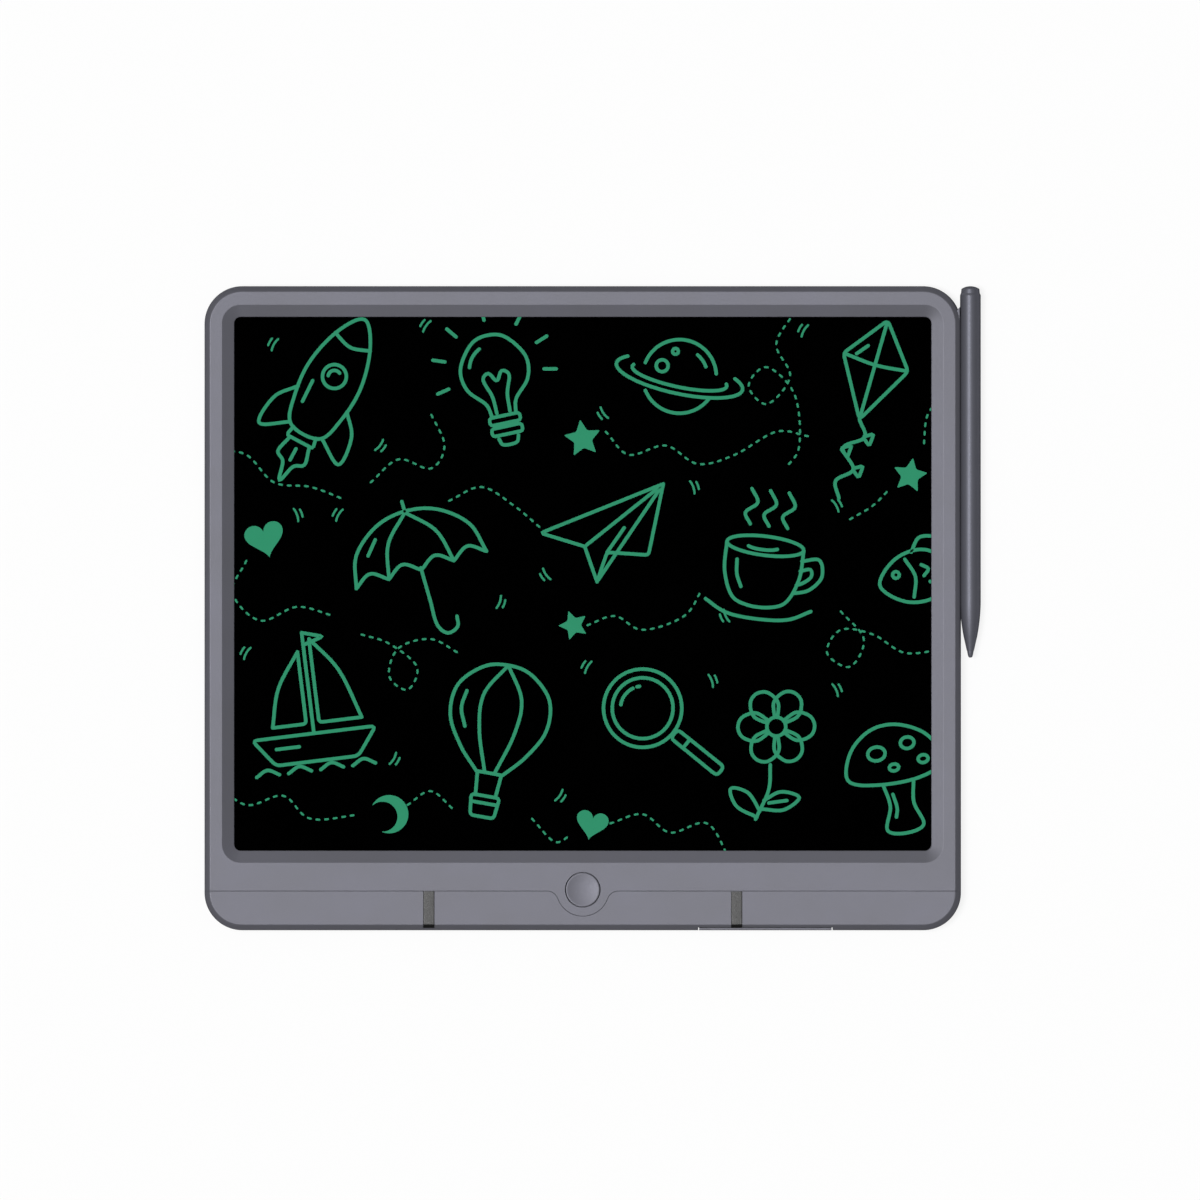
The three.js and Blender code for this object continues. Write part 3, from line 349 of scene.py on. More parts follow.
def wallLevels():
    # Outline inset, seam inset and height of both front parts, from the flat over the roll, down
    # the wall and up inside it to the plate. The seam's small round stands back by its radius
    # less the root of the radius squared minus the depth into it squared.
    inset, height = rollLevels().T
    radius = case["seamEdge"]
    into = np.clip(radius - (case["front"] - height), 0, radius)
    outer = columns(inset, radius - np.sqrt(radius ** 2 - into ** 2), height)
    low, edge, wall = case["parting"], case["partingEdge"], case["wall"]
    inner = np.array([[0, 0, low + edge], [edge, edge, low], [wall, wall, low],
                      [wall, wall, case["plate"]]])
    return rows(outer, inner)


def seamPoints(straight, offset):
    # The seam from left to right: a line, a fillet, the dip round the button, and back.
    # A positive offset moves it into the bezel.
    dip = case["dipRadius"] - offset
    fillet = case["dipFillet"] + offset
    filletY = case["seamY"] - case["dipFillet"]
    rise = filletY - case["buttonY"]
    filletX = np.sqrt((case["dipRadius"] + case["dipFillet"]) ** 2 - rise ** 2)
    lean = np.degrees(np.arctan2(filletX, -rise))  # from straight down to where dip and fillet meet
    bend = arc((-filletX, filletY), 90, 90 - lean, fillet, counts["fillet"])[:-1]
    bowl = arc((0, case["buttonY"]), -90 - lean, lean - 90, dip, counts["dip"])
    left = rows(raised(straight, case["seamY"] + offset), bend)
    return rows(left, bowl, left[::-1] * [-1, 1])


def closedOutline(bottom, right, corner, radius):
    # The bottom line, the right side and its round corner, the top, and the left side mirrored
    bend = arc(corner, 0, 90, radius, counts["corner"])[1:]
    half = rows(raised(right, corner[0] + radius)[:, ::-1], bend)
    top = raised(np.linspace(corner[0], -corner[0], counts["side"])[1:-1], corner[1] + radius)
    return rows(bottom, half, top, half[::-1] * [-1, 1])


def bezelOutline(inset, seam):
    # The seam from left to right, then over the top and back to its left end
    halfX, halfY = case["width"] / 2 - inset, case["height"] / 2 - inset
    radius = case["corner"] - inset
    bottom = seamPoints(np.linspace(-halfX, -case["dipStart"], counts["side"]), seam)
    shelf = case["windowRise"] - case["windowHeight"] / 2 + case["windowCorner"]
    right = np.r_[np.linspace(bottom[-1, 1], shelf, counts["lowCorner"])[1:-1],
                  np.linspace(shelf, halfY - radius, counts["side"])]
    return closedOutline(bottom, right, (halfX - radius, halfY - radius), radius)


def windowOutline(grow):
    # The window's rounded rectangle, whose bottom line has the seam's X, scaled to its length
    radius = case["windowCorner"] + grow
    straightX = case["windowWidth"] / 2 - case["windowCorner"]
    straightY = case["windowHeight"] / 2 - case["windowCorner"]
    lowY, highY = case["windowRise"] - straightY, case["windowRise"] + straightY
    seamX = bezelOutline(0, 0)[:len(seamPoints(np.zeros(counts["side"]), 0)), 0]
    bottom = raised(seamX / seamX[-1] * straightX, lowY - radius)
    low = arc((straightX, lowY), -90, 0, radius, counts["lowCorner"])[1:-1]
    right = np.linspace(lowY, highY, counts["side"])
    outline = closedOutline(bottom, right, (straightX, highY), radius)
    return rows(bottom, low, outline[len(bottom):], low[::-1] * [-1, 1])


def windowLevels():
    # Window growth and height: up the lip, round its edge, up the bevel, round onto the flat. A
    # round starts its radius times the tangent of half its bend before the corner.
    front, width, depth = case["front"], case["bevelWidth"], case["bevelDepth"]
    slope = np.arctan(depth / width)
    lean = 90 + np.degrees(slope)
    lip, crest = case["lipEdge"], case["bevelEdge"]
    lipY = front - depth - lip * tan((pi / 2 - slope) / 2)
    edge = arc((lip, lipY), 180, lean, lip, counts["lip"])
    crestX = width + crest * tan(slope / 2)
    crown = arc((crestX, front - crest), lean, 90, crest, counts["crest"])
    return rows([0, case["lipLow"]], edge, crown)


def makeBezel():
    # Closed rings: up the window's lip and bevel, over the front and down the wall, and back
    # under the plate. The button's hole and the stylus channel are cut out.
    rings = [raised(windowOutline(grow), height) for grow, height in windowLevels()]
    rings += [raised(bezelOutline(inset, seam), height) for inset, seam, height in wallLevels()]
    under = windowOutline(case["bevelWidth"] + case["lipWidth"])
    rings += [raised(under, case["plate"]), raised(under, case["lipLow"])]
    rings = gridPart(np.stack(rings), wrapRows=True, wrapColumns=True)
    bezel = meshPiece("bezel_moulding", rings)
    radius, edge, front = case["holeRadius"], case["holeEdge"], case["front"]
    low, high, wide = case["holeFrom"], case["holeTo"], radius + edge
    hole = meshPiece("hole cutter", turnedPart([
        (0, low), (radius, low), (radius, front - edge), (wide, front), (wide, high), (0, high),
    ], 0, case["buttonY"]))
    low, high, radius = case["channelFrom"], case["channelTo"], case["channelRadius"]
    channel = meshPiece("channel cutter", barrelGrid([
        (0, low), (radius, low), (radius, high), (0, high)]))
    carve(bezel, hole, channel)
    finishPiece(bezel, "flakeFilledCaseAbs", "grey_case", "tablet", "front_bezel")


# The stylus: turned about its own length, each profile from the tip upwards

stylus = {
    "x": 168.24, "z": 6.5, "tipY": -21.45, "length": 161.2, "radius": 4.5,
    "tipLength": 2.9, "tipRadius": 1.56, "knee": 9.4, "kneeRadius": 2.99, "taper": 25.0,
    "tipEdge": 0.12, "shaftRings": [60, 110], "rimEdge": [0.02, 0.15],
    "capLength": 3.0, "capChamfer": 0.9, "capRadius": 4.07, "capTop": 3.92,
    "capDome": 1.25, "capCrown": 1.7, "socket": 1.2, "playRound": 0.03,
    "taperSteps": 24, "domeSteps": 14, "sides": 128, "nibSides": 48,
    "nib": [(0, 0), (0.28, 0.02), (0.5, 0.09), (0.7, 0.22), (0.86, 0.42), (0.98, 0.7),
            (1.08, 1.05), (1.42, 2.75), (1.42, 2.95), (0, 2.95)],
}


def barrelGrid(profile, sides=stylus["sides"]):
    # The profile spun round the stylus's axis, which lies along Y
    across, upward, height = spun(profile, sides)
    points = np.stack(np.broadcast_arrays(
        stylus["x"] + across, stylus["tipY"] + height, stylus["z"] + upward), axis=-1)
    return gridPart(points, wrapColumns=True)


def makeStylus():
    # The barrel: a cone from the tip to the knee, a pulled curve to the full radius, the shaft,
    # and a chamfer round the cap's socket. The cap's dome narrows with a cosine as it rises with
    # a power of the sine.
    radius, tip, tipRadius = stylus["radius"], stylus["tipLength"], stylus["tipRadius"]
    knee, taper, tipEdge = stylus["knee"], stylus["taper"], stylus["tipEdge"]
    ogive = pulledCurve(np.array([stylus["kneeRadius"], knee]),
                        np.array([radius, (knee + taper) / 2]), np.array([radius, taper]),
                        np.linspace(0, 1, stylus["taperSteps"])[:, None])
    rim = stylus["length"] - stylus["capLength"]
    chamferLow, socket = rim - stylus["capChamfer"], rim - stylus["socket"]
    capRadius, play = stylus["capRadius"], stylus["playRound"]
    edgeIn, edgeDown = stylus["rimEdge"]
    barrel = rows(
        [0, tip], [tipRadius - tipEdge, tip], [tipRadius, tip + tipEdge], ogive,
        *[[radius, ring] for ring in stylus["shaftRings"]], [radius, chamferLow - edgeDown],
        [radius - edgeIn, chamferLow], [capRadius + play, rim],
        [capRadius + play, socket], [0, socket])
    foot, dome = socket + play, stylus["capDome"]
    turn = np.linspace(0, pi / 2, stylus["domeSteps"])
    crown = columns(stylus["capTop"] * np.cos(turn),
                    stylus["length"] - dome + dome * np.sin(turn) ** stylus["capCrown"])
    cap = rows([0, foot], [capRadius, foot], [capRadius, rim], crown)
    for name, profile, sides, node in (
            ("stylus_turned_barrel", barrel, stylus["sides"], "stylus_barrel"),
            ("stylus_domed_cap", cap, stylus["sides"], "stylus_cap"),
            ("stylus_rounded_nib", stylus["nib"], stylus["nibSides"], "stylus_nib")):
        piece = meshPiece(name, barrelGrid(profile, sides))
        finishPiece(piece, "flakeFilledStylusAbs", "grey_stylus", "stylus", node)


# The bottom bar, its rubber strips, and the web behind the stylus

def barOutlines(inset, seam):
    # The bar's top outline at one level, and the points below on its bottom outline, whose ends
    # follow the frame's round corners
    radius = case["corner"] - inset
    offset = -case["seamGap"] - seam
    first = np.arcsin(min((case["seamY"] + offset + cornerY) / radius, 0))
    bend = arc((cornerX, -cornerY), np.degrees(first), -90, radius, counts["barCorner"]) * [-1, 1]
    flat = np.linspace(-cornerX, -case["dipStart"], counts["barSide"])[1:]
    upper = seamPoints(np.r_[bend[:, 0], flat], offset)
    lower = raised(upper[:, 0], -cornerY - radius)
    lower[:len(bend), 1] = bend[:, 1]
    lower[-len(bend):, 1] = bend[::-1, 1]
    lower[[0, -1]] = upper[[0, -1]]
    return upper, lower


def edgeProfile(depth):
    # Y and height along the bottom edge's form from the seam outwards, moved in by the depth
    # along its normal
    line = rollLevels() - [case["height"] / 2, 0]
    line = rows([case["seamY"] + 1, case["front"]], line, [line[-1, 0], case["parting"]])
    along = unit(np.gradient(line, axis=0))
    return line + depth * columns(-along[:, 1], along[:, 0])


strip = {"spread": 66.8, "width": 4.7, "thick": 0.8, "gap": 0.1, "lowInset": 1.05, "edge": 0.22,
         "pastSeam": 0.5, "above": 2, "edgeSteps": 5}
# The notch in the bar's foot that the door's lip shows in
notch = {"left": 50.1, "right": 108.4, "outer": -141.0, "inner": -138.55, "foot": 4.0, "tall": 8}


def stripProfile(depth, high, low):
    # The stretch of the edge profile between two places in Y, cut square at both
    line = edgeProfile(depth)[::-1]
    ys = np.linspace(high, low, counts["strip"])
    return columns(ys, np.interp(ys, line[:, 0], line[:, 1]))


def blockGrid(x0, x1, lower, upper):
    # A block drawn out along X between two lines of Y and height
    loop = [(x0, lower), (x1, lower), (x1, upper), (x0, upper)]
    points = np.stack([columns(np.full(len(line), x), line) for x, line in loop])
    return gridPart(points, wrapRows=True, caps=True)


def makeBar():
    # Lines along the bar: up its top outline from the inside, and down its bottom one. The
    # strips' grooves and the notch are cut out.
    pairs = [(barOutlines(inset, seam), height) for inset, seam, height in wallLevels()]
    lines = [raised(upper, height) for (upper, lower), height in reversed(pairs)]
    lines += [raised(lower, height) for (upper, lower), height in pairs]
    bar = meshPiece("bottom_bar_moulding", gridPart(np.stack(lines), wrapRows=True))
    half = strip["width"] / 2 + strip["gap"]
    low = strip["lowInset"] - strip["gap"] - case["height"] / 2
    floor = stripProfile(strip["thick"] + strip["gap"], case["seamY"] + strip["pastSeam"], low)
    roof = raised(floor[:, 0], case["front"] + strip["above"])
    cutters = [meshPiece("groove cutter", blockGrid(x - half, x + half, floor, roof))
               for x in (-strip["spread"], strip["spread"])]
    foot = np.array([[notch["outer"], notch["foot"]], [notch["inner"], notch["foot"]]])
    cutters.append(meshPiece("notch cutter", blockGrid(
        notch["left"], notch["right"], foot, foot + [0, notch["tall"]])))
    carve(bar, *cutters)
    finishPiece(bar, "flakeFilledCaseAbs", "grey_case", "tablet", "bottom_bar")


def makeStrip(name, x, node):
    # A flat band with rounded sides along the bottom edge's form. Its lines run between the
    # form's own and the one that lies the band's thickness inside.
    high = case["seamY"] - case["seamGap"] - strip["gap"]
    low = strip["lowInset"] - case["height"] / 2
    top, floor = stripProfile(0, high, low), stripProfile(strip["thick"], high, low)
    half, edge = strip["width"] / 2, strip["edge"]
    reach, rise = arc((half - edge, 0), 0, 90, edge, strip["edgeSteps"]).T
    sink = (edge - rise) / strip["thick"]
    across, drop = np.r_[half, reach, -reach[::-1], -half], np.r_[1, sink, sink[::-1], 1]
    lines = [columns(np.full(len(top), x + place), top * (1 - share) + floor * share)
             for place, share in zip(across, drop)]
    band = meshPiece(name, gridPart(np.stack(lines), wrapRows=True, caps=True))
    finishPiece(band, "mouldedStripRubber", "black_rubber", "tablet", node)


shoulder = {"inset": 0.9, "right": 163.66, "foot": 3.8, "top": 9.3, "slant": 33.0, "edge": 0.2,
            "edgeSteps": 3}


def makeShoulder():
    # A web on the cradle between the case and the stylus, from the case's corner arc out to a
    # straight side. Its top is cut at 45 degrees, where X less Y is the slant.
    radius = case["corner"] - shoulder["inset"]
    lift = cornerY + shoulder["slant"] - cornerX
    reach = (np.sqrt(2 * radius ** 2 - lift ** 2) - lift) / (2 * radius)
    bend = arc((cornerX, cornerY), 0, np.degrees(np.arcsin(reach)), radius, counts["web"])
    right = shoulder["right"]
    plan = rows([right, cornerY], [right, right - shoulder["slant"]], bend[::-1])
    levels = [raised(plan, height) for height in (shoulder["foot"], shoulder["top"])]
    plate = gridPart(np.stack(levels, axis=1), wrapRows=True, caps=True)
    web = meshPiece("cradle_shoulder", plate)
    rounded = web.modifiers.new("moulded edges", "BEVEL")
    rounded.width = shoulder["edge"] / 1000
    rounded.segments = shoulder["edgeSteps"]
    rounded.limit_method = "ANGLE"
    finishPiece(web, "flakeFilledCaseAbs", "grey_case", "tablet")


makeBezel()
makeShoulder()
makeBar()
makeStrip("rubber_band_left", -strip["spread"], "rubber_strip_left")
makeStrip("rubber_band_right", strip["spread"], "rubber_strip_right")
makeStylus()
print("front mouldings and stylus made")


# Round parts

button = {"radius": 7.38, "rim": 10.5, "edge": 0.22, "dishEdge": 6.75, "dish": 0.3,
          "flange": 9.2, "flangeTop": 8.3, "flangeLow": 7.3, "plunger": 2.2,
          "edgeSteps": 6, "dishSteps": 22}


def makeButton():
    # Turned from the plunger's foot over the flange and up the wall; the dish rises from its
    # middle with the square of the reach
    radius, rim, edge = button["radius"], button["rim"], button["edge"]
    flange, flangeTop, flangeLow = (button[name] for name in ("flange", "flangeTop", "flangeLow"))
    low = 1000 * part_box("erase_button")[0].z
    reach = np.linspace(button["dishEdge"], 0, button["dishSteps"])
    bowl = columns(reach, rim - button["dish"] * (1 - (reach / reach[0]) ** 2))
    profile = rows(
        [0, low], [button["plunger"], low], [button["plunger"], flangeLow], [flange, flangeLow],
        [flange, flangeTop], [radius, flangeTop],
        arc((radius - edge, rim - edge), 0, 90, edge, button["edgeSteps"]), bowl)
    piece = meshPiece("dished_erase_button", turnedPart(profile, 0, case["buttonY"]))
    finishPiece(piece, "flakeFilledCaseAbs", "grey_case", "erase_button", "erase_button")


def centreOf(node):
    # Middle of a node's box in X and Y, and its lowest and highest Z
    low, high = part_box(node)
    return 500 * (low.x + high.x) - middleX, 500 * (low.y + high.y), 1000 * low.z, 1000 * high.z


dome = {"skin": 0.4, "foot": 0.5, "footEdge": 0.1, "footWidth": 1.3, "skirtStart": 1.0,
        "crown": 2.6, "crownEdge": 0.12, "crownSlant": 0.35, "underCrown": 0.1, "travel": 0.8}


def makeDome():
    # A flat foot, a thin conical skirt, and a thick crown under the plunger.
    x, y, low, high = centreOf("silicone_dome")
    radius = 500 * (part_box("silicone_dome")[1].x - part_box("silicone_dome")[0].x)
    top, crown, footEdge = low + dome["foot"], dome["crown"], dome["footEdge"]
    inside, under = radius - dome["footWidth"], high - dome["skin"]
    profile = [(inside, low), (radius, low), (radius, top - footEdge), (radius - footEdge, top),
               (radius - dome["skirtStart"], top),
               (crown + dome["crownSlant"], high - dome["crownEdge"]), (crown, high), (0, high),
               (0, under), (crown + dome["underCrown"], under), (inside, top - dome["skin"]),
               (inside, low)]
    piece = meshPiece("moulded_silicone_dome", turnedPart(profile, x, y))
    finishPiece(piece, "milkySilicone", "silicone", "tablet", "silicone_dome")
    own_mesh(piece)


pad = {"radius": 6.0, "edge": 0.6, "recess": 0.12, "recessRadius": 4.3, "recessRim": 4.6,
       "edgeSteps": 7, "sides": 64}


def makeFeet():
    # Turned: a shallow recess underneath, a round edge and an upright wall
    radius, edge, recess = pad["radius"], pad["edge"], pad["recess"]
    for number in range(1, 5):
        node = f"rubber_foot_{number}"
        x, y, low, high = centreOf(node)
        profile = rows(
            [0, low + recess], [pad["recessRadius"], low + recess], [pad["recessRim"], low],
            arc((radius - edge, low + edge), -90, 0, edge, pad["edgeSteps"]),
            [radius, high], [0, high])
        foot = meshPiece(f"moulded_foot_{number}", turnedPart(profile, x, y, pad["sides"]))
        finishPiece(foot, "footRubber", "black_rubber", "tablet", node)


screw = {"head": 2.3, "headTall": 1.2, "edge": 0.5, "shank": 1.1, "tip": 0.5,
         "neck": 0.2, "point": 0.3, "threadDepth": 0.16, "threadRings": 25,
         "cross": [1.3, 0.3], "crossFrom": -1.0, "crossTall": 1.7,
         "edgeSteps": 7, "sides": 40}


def makeScrews():
    # Turned: a head with a round edge, and a thread of rings that stand out and in by turns. A
    # cross is cut in the head.
    edge, shank, rings = screw["edge"], screw["shank"], screw["threadRings"]
    names = [f"case_screw_{number}" for number in range(1, 11)] + ["battery_door_screw"]
    for node in names:
        x, y, low, high = centreOf(node)
        neck = low + screw["headTall"]
        thread = columns(
            shank - screw["threadDepth"] * (np.arange(rings) % 2),
            np.linspace(neck + screw["neck"], high - screw["point"], rings))
        profile = rows(
            [0, low],
            arc((screw["head"] - edge, low + edge), -90, 0, edge, screw["edgeSteps"]),
            [screw["head"], neck], [shank, neck], thread, [screw["tip"], high], [0, high])
        piece = meshPiece(f"{node}_turned", turnedPart(profile, x, y, screw["sides"]))
        cutters = []
        for halfX, halfY in (screw["cross"], screw["cross"][::-1]):
            line = raised(np.array([y - halfY, y + halfY]), low + screw["crossFrom"])
            cutters.append(meshPiece("cross cutter", blockGrid(
                x - halfX, x + halfX, line, line + [0, screw["crossTall"]])))
        carve(piece, *cutters)
        body = "battery_door" if node == "battery_door_screw" else "tablet"
        finishPiece(piece, "nickelPlatedSteel", "steel", body, node)


# Rows of the cell's profile: from its wall and foot, from its wall and top, and from the crimp
cell = {"radius": 10.0, "crimp": 8.9, "footRows": [(-0.8, 0), (-0.25, 0.08), (0, 0.4)],
        "wallRows": [(0, -0.48), (-0.2, -0.25)],
        "crimpRows": [(0.4, -0.24), (0.15, -0.3), (0, -0.05), (-0.2, 0)]}


def makeCells():
    # Turned: a rolled foot, the wall, and a groove at the crimp round its cap
    for number in (1, 2):
        node = f"coin_cell_{number}"
        x, y, low, high = centreOf(node)
        profile = rows(
            [0, low], np.array(cell["footRows"]) + [cell["radius"], low],
            np.array(cell["wallRows"]) + [cell["radius"], high],
            np.array(cell["crimpRows"]) + [cell["crimp"], high], [0, high])
        piece = meshPiece(f"pressed_cell_{number}", turnedPart(profile, x, y))
        finishPiece(piece, "nickelPlatedSteel", "steel", "tablet", node)


makeButton()
makeDome()
makeFeet()
makeScrews()
makeCells()
print("round parts made")


# Written lines: each is a low bead on the film

ink = {"line": 1.52, "fine": 0.95, "height": 0.04, "lift": 0.005, "layers": 7, "step": 0.9,
       "dash": 1.25, "dashPitch": 3.75, "dashWidth": 0.9, "dashStep": 0.5, "reach": 2.0,
       "blotEdge": 0.02, "sharpest": 60, "tickScale": 0.62, "ovalSteps": 61, "spanSteps": 13,
       "bendSteps": 8, "endTurns": [90, 58, 28],
       "section": [[-0.5, 0], [-0.36, 1], [0.36, 1], [0.5, 0]]}
filmTop = 1000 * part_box("lcd_film")[1].z


def oval(x, y, wide, tall=None, start=0, end=360):
    # Half widths times cosine and sine, between two angles in degrees
    turn = np.radians(np.linspace(start, end, ink["ovalSteps"]))
    return columns(x + wide * np.cos(turn), y + (tall or wide) * np.sin(turn))


def smooth(*points, closed=False):
    # A curve through the points: each span mixes its four nearest points by cubic weights
    knots = np.array(points, float)
    if closed:
        padded = rows(knots[-1:], knots, knots[:2])
    else:
        padded = rows(2 * knots[:1] - knots[1:2], knots, 2 * knots[-1:] - knots[-2:-1])
    t = np.linspace(0, 1, ink["spanSteps"])[:-1]
    weights = 0.5 * np.stack([2 * t ** 2 - t ** 3 - t, 3 * t ** 3 - 5 * t ** 2 + 2,
                              4 * t ** 2 - 3 * t ** 3 + t, t ** 3 - t ** 2], axis=1)
    spans = np.stack([padded[i:len(padded) - 3 + i] for i in range(4)], axis=1)
    curve = np.einsum("tk,nkd->ntd", weights, spans).reshape(-1, 2)
    return rows(curve, padded[-2:-1])


def bent(radius, *points, closed=True):
    # Straight lines whose corners are rounded, from this far off, by a curve pulled towards them
    knots = np.array(points, float)
    start = knots + radius * unit(np.roll(knots, 1, axis=0) - knots)
    end = knots + radius * unit(np.roll(knots, -1, axis=0) - knots)
    share = np.linspace(0, 1, ink["bendSteps"])[None, :, None]
    curves = pulledCurve(start[:, None], knots[:, None], end[:, None], share)
    if closed:
        line = curves.reshape(-1, 2)
        return rows(line, line[:1])
    return rows(knots[:1], curves[1:-1].reshape(-1, 2), knots[-1:])


def folded(*half):
    # The points, then the same mirrored in X and in reverse, those on the middle once
    return [*half, *[(-x, y) for x, y in reversed(half) if x != 0]]


def pair(*points):
    # A line, and the same mirrored in X
    return [points, [(-x, y) for x, y in points]]


def turnedBy(degrees):
    # What turns a line: cosine and sine, and minus sine and cosine
    angle = radians(degrees)
    return np.array([[np.cos(angle), np.sin(angle)], [-np.sin(angle), np.cos(angle)]])


# Across half the cube of the sine, and up a sum of cosines of the angle's multiples
turn = np.linspace(0, 2 * pi, 49)[:, None]
heart = columns(0.5 * np.sin(turn) ** 3, np.cos(turn * [1, 2, 3, 4]) @ [0.4, -0.16, -0.06, -0.03])
# Points and notches by turns at two reaches, with small rounds
turn = np.linspace(0, 2 * pi, 11)[:-1] + pi / 2
reach = np.where(np.arange(10) % 2, 0.27, 0.56)
star = bent(0.06, *columns(reach * np.cos(turn), reach * np.sin(turn)))
# A large arc, and back along a smaller one that stands off to the side
moon = rows(oval(0, 0, 0.52, start=48, end=312)[:-1], oval(0.2, 0, 0.414, start=291, end=69))
# Two short arcs one behind the other
ticks = [oval(-14, 0, 14, start=-19, end=19), oval(-10.6, 0, 14, start=-11, end=11)]


def placedLines(lines, x, y, scale, angle):
    # The lines, turned, scaled and moved to their place in the window
    curves = [line if isinstance(line, np.ndarray) else smooth(*line) for line in lines]
    return [line @ turnedBy(angle) * scale + [x, y + case["windowRise"]] for line in curves]


drawing = []


def motif(x, y, scale, angle, *lines):
    # Lines round the motif's own middle. Points alone are drawn as the smooth curve through them.
    drawing.extend(placedLines(lines, x, y, scale, angle))


# Rocket
motif(-112, 82, 1.0, -28,
      smooth(*folded((0, 37), (8, 27), (12.5, 10), (11.5, -6), (7, -18)), closed=True),
      oval(0, 9, 5.2), oval(0, 9, 2.7, start=60, end=200), folded((-8.6, 26), (0, 23.4)),
      *pair((-12, -2), (-19, -11), (-19.5, -24), (-8, -17.5)),
      bent(1.2, *folded((-5.5, -18.5), (-6.5, -23)), closed=False),
      folded((-5, -24), (-6.5, -31), (-2.5, -34), (0, -42)),
      ((-7.5, 3), (-7.2, -7)), ((0, -26.5), (0, -32)))
# Light bulb
motif(-36, 82, 0.96, 12,
      folded((-5.5, -9), (-7, -3), (-14, 5), (-15, 15), (-8, 25), (0, 27.5)),
      bent(1.4, (-7, -9.5), (7, -9.5), (7, -13), (-7, -13)),
      bent(1.4, (-7, -14.5), (7, -14.5), (7, -18), (-7, -18)),
      folded((-4.5, -19.5), (-3, -22.5)),
      folded((-3, -8), (-3.5, 0), (-6, 8), (-3, 10.5), (0, 6.5)),
      oval(0, 12, 11.2, start=115, end=165),
      *[[(22.5, 0), (28, 0)] @ turnedBy(angle) + [0, 12]
        for angle in (-12, 20, 52, 90, 128, 160, 192)])
# Ringed planet
motif(42, 90, 1.0, 6,
      oval(0, 0, 16, start=-2, end=152), oval(0, 0, 16, start=196, end=318),
      oval(0, 0, 28, 7.5, 148, 392) @ turnedBy(-18),
      oval(0, 0, 21, 4.6, 168, 372) @ turnedBy(-18),
      oval(-7, 5.4, 2.6), oval(-0.6, 11, 1.3), oval(0, 0, 12.2, start=14, end=44))
# Kite
motif(126, 92, 0.86, -16,
      bent(2.2, *folded((0, 27), (17, 5), (0, -25))), ((0, 26), (0, -24)),
      folded((-16.5, 5), (0, 3.6)),
      ((0, -25), (5, -33), (-4, -41), (4, -50), (-3, -58), (1, -66)),
      *[bent(0.8, (x, y), (x + 5, y + 3), (x + 4.5, y - 3.5))
        for x, y in ((4, -33), (-5.1, -41.6), (3.3, -50))], ((-6, 12), (-10.5, 6.5)))
# Umbrella
motif(-70, 6, 0.98, 16,
      folded((-30, 0), (-26, 14), (-14, 24), (0, 27)),
      *[((x, 0), (x + 7.5, 4.6), (x + 15, 0)) for x in (-30, -15, 0, 15)],
      *pair((-15, 0), (-11, 15), (0, 26.5)), ((0, 27), (0, 31.5)),
      ((0, 1), (0, -14), (0, -25), (3.5, -30), (8.5, -28.5), (9.5, -24)),
      ((-21, 12.5), (-16, 18.5)))
# Paper plane
motif(10, 22, 0.98, 14,
      bent(1.2, (30, 15), (-28, 7), (-10.5, -3.5), closed=False),
      bent(1.0, (30, 15), (-10.5, -3.5), (-9, -20), (30, 15), closed=False),
      bent(1.4, (-9, -20), (-1.5, -8.4), (16, -14), (30, 15), closed=False),
      ((-1.5, -8.4), (8.5, 0.3)))
# Cup on a saucer
motif(78, 6, 0.96, -7,
      folded((-17.5, 11), (-17, -2), (-12.5, -13), (-5, -16.5)),
      oval(0, 11, 17.5, 4.3), ((17.2, 6), (25, 7.5), (27, 0), (22, -6.5), (14.8, -9)),
      ((17, 1.5), (21.5, 2.8), (22.2, -0.5), (19, -3.6), (16, -5)),
      folded((-24, -16), (-14, -21), (0, -22.3)),
      *[((x, 20), (x - 2.8, 25), (x + 2.2, 30), (x - 1.2, 36)) for x in (-8, 0.5, 9)],
      ((-12, 3.5), (-11.3, -3), (-8.8, -8.6)), oval(-1, 10.6, 7, 1.5, 200, 340))
# Fish
motif(148, 4, 0.98, 14,
      smooth((-20, 0), (-11, 9.5), (2, 11), (14, 3), (20, 0), (14, -3), (2, -11), (-11, -9.5),
             closed=True),
      ((17.5, 1.5), (26, 10), (28, 4), (25, 0), (28, -4), (26, -10), (17.5, -1.5)),
      oval(-12, 2.8, 1.5), ((-6.5, 8.6), (-3.8, 0), (-6.5, -8.6)),
      ((0, 4.5), (2.6, 2), (0, -0.5)), ((6, 4.2), (8.6, 1.8), (6, -0.6)),
      ((2, -3.6), (4.6, -5.8), (2.4, -7.6)),
      ((-3, 11), (2, 16.5), (9, 14.5), (8.5, 8)))
# Sailing boat
motif(-118, -54, 1.0, 7,
      bent(2.2, (-27, -11), (27, -11), (18, -23), (-18, -23)), ((0, -11), (0, 33)),
      ((2.8, 30), (14, 15), (21.5, -6.5)),
      bent(1.5, (21.5, -6.5), (2.8, -6.5), (2.8, 30), closed=False),
      ((-2.8, 25), (-13, 10), (-17.5, -6.5)),
      bent(1.5, (-17.5, -6.5), (-2.8, -6.5), (-2.8, 25), closed=False),
      bent(0.8, (0, 33), (9, 30.3), (0, 27.6), closed=False),
      *[((x, -27), (x + 5, -24.5), (x + 10, -27)) for x in (-27, -13, 1, 15)],
      ((-17, -16), (-7, -16)))
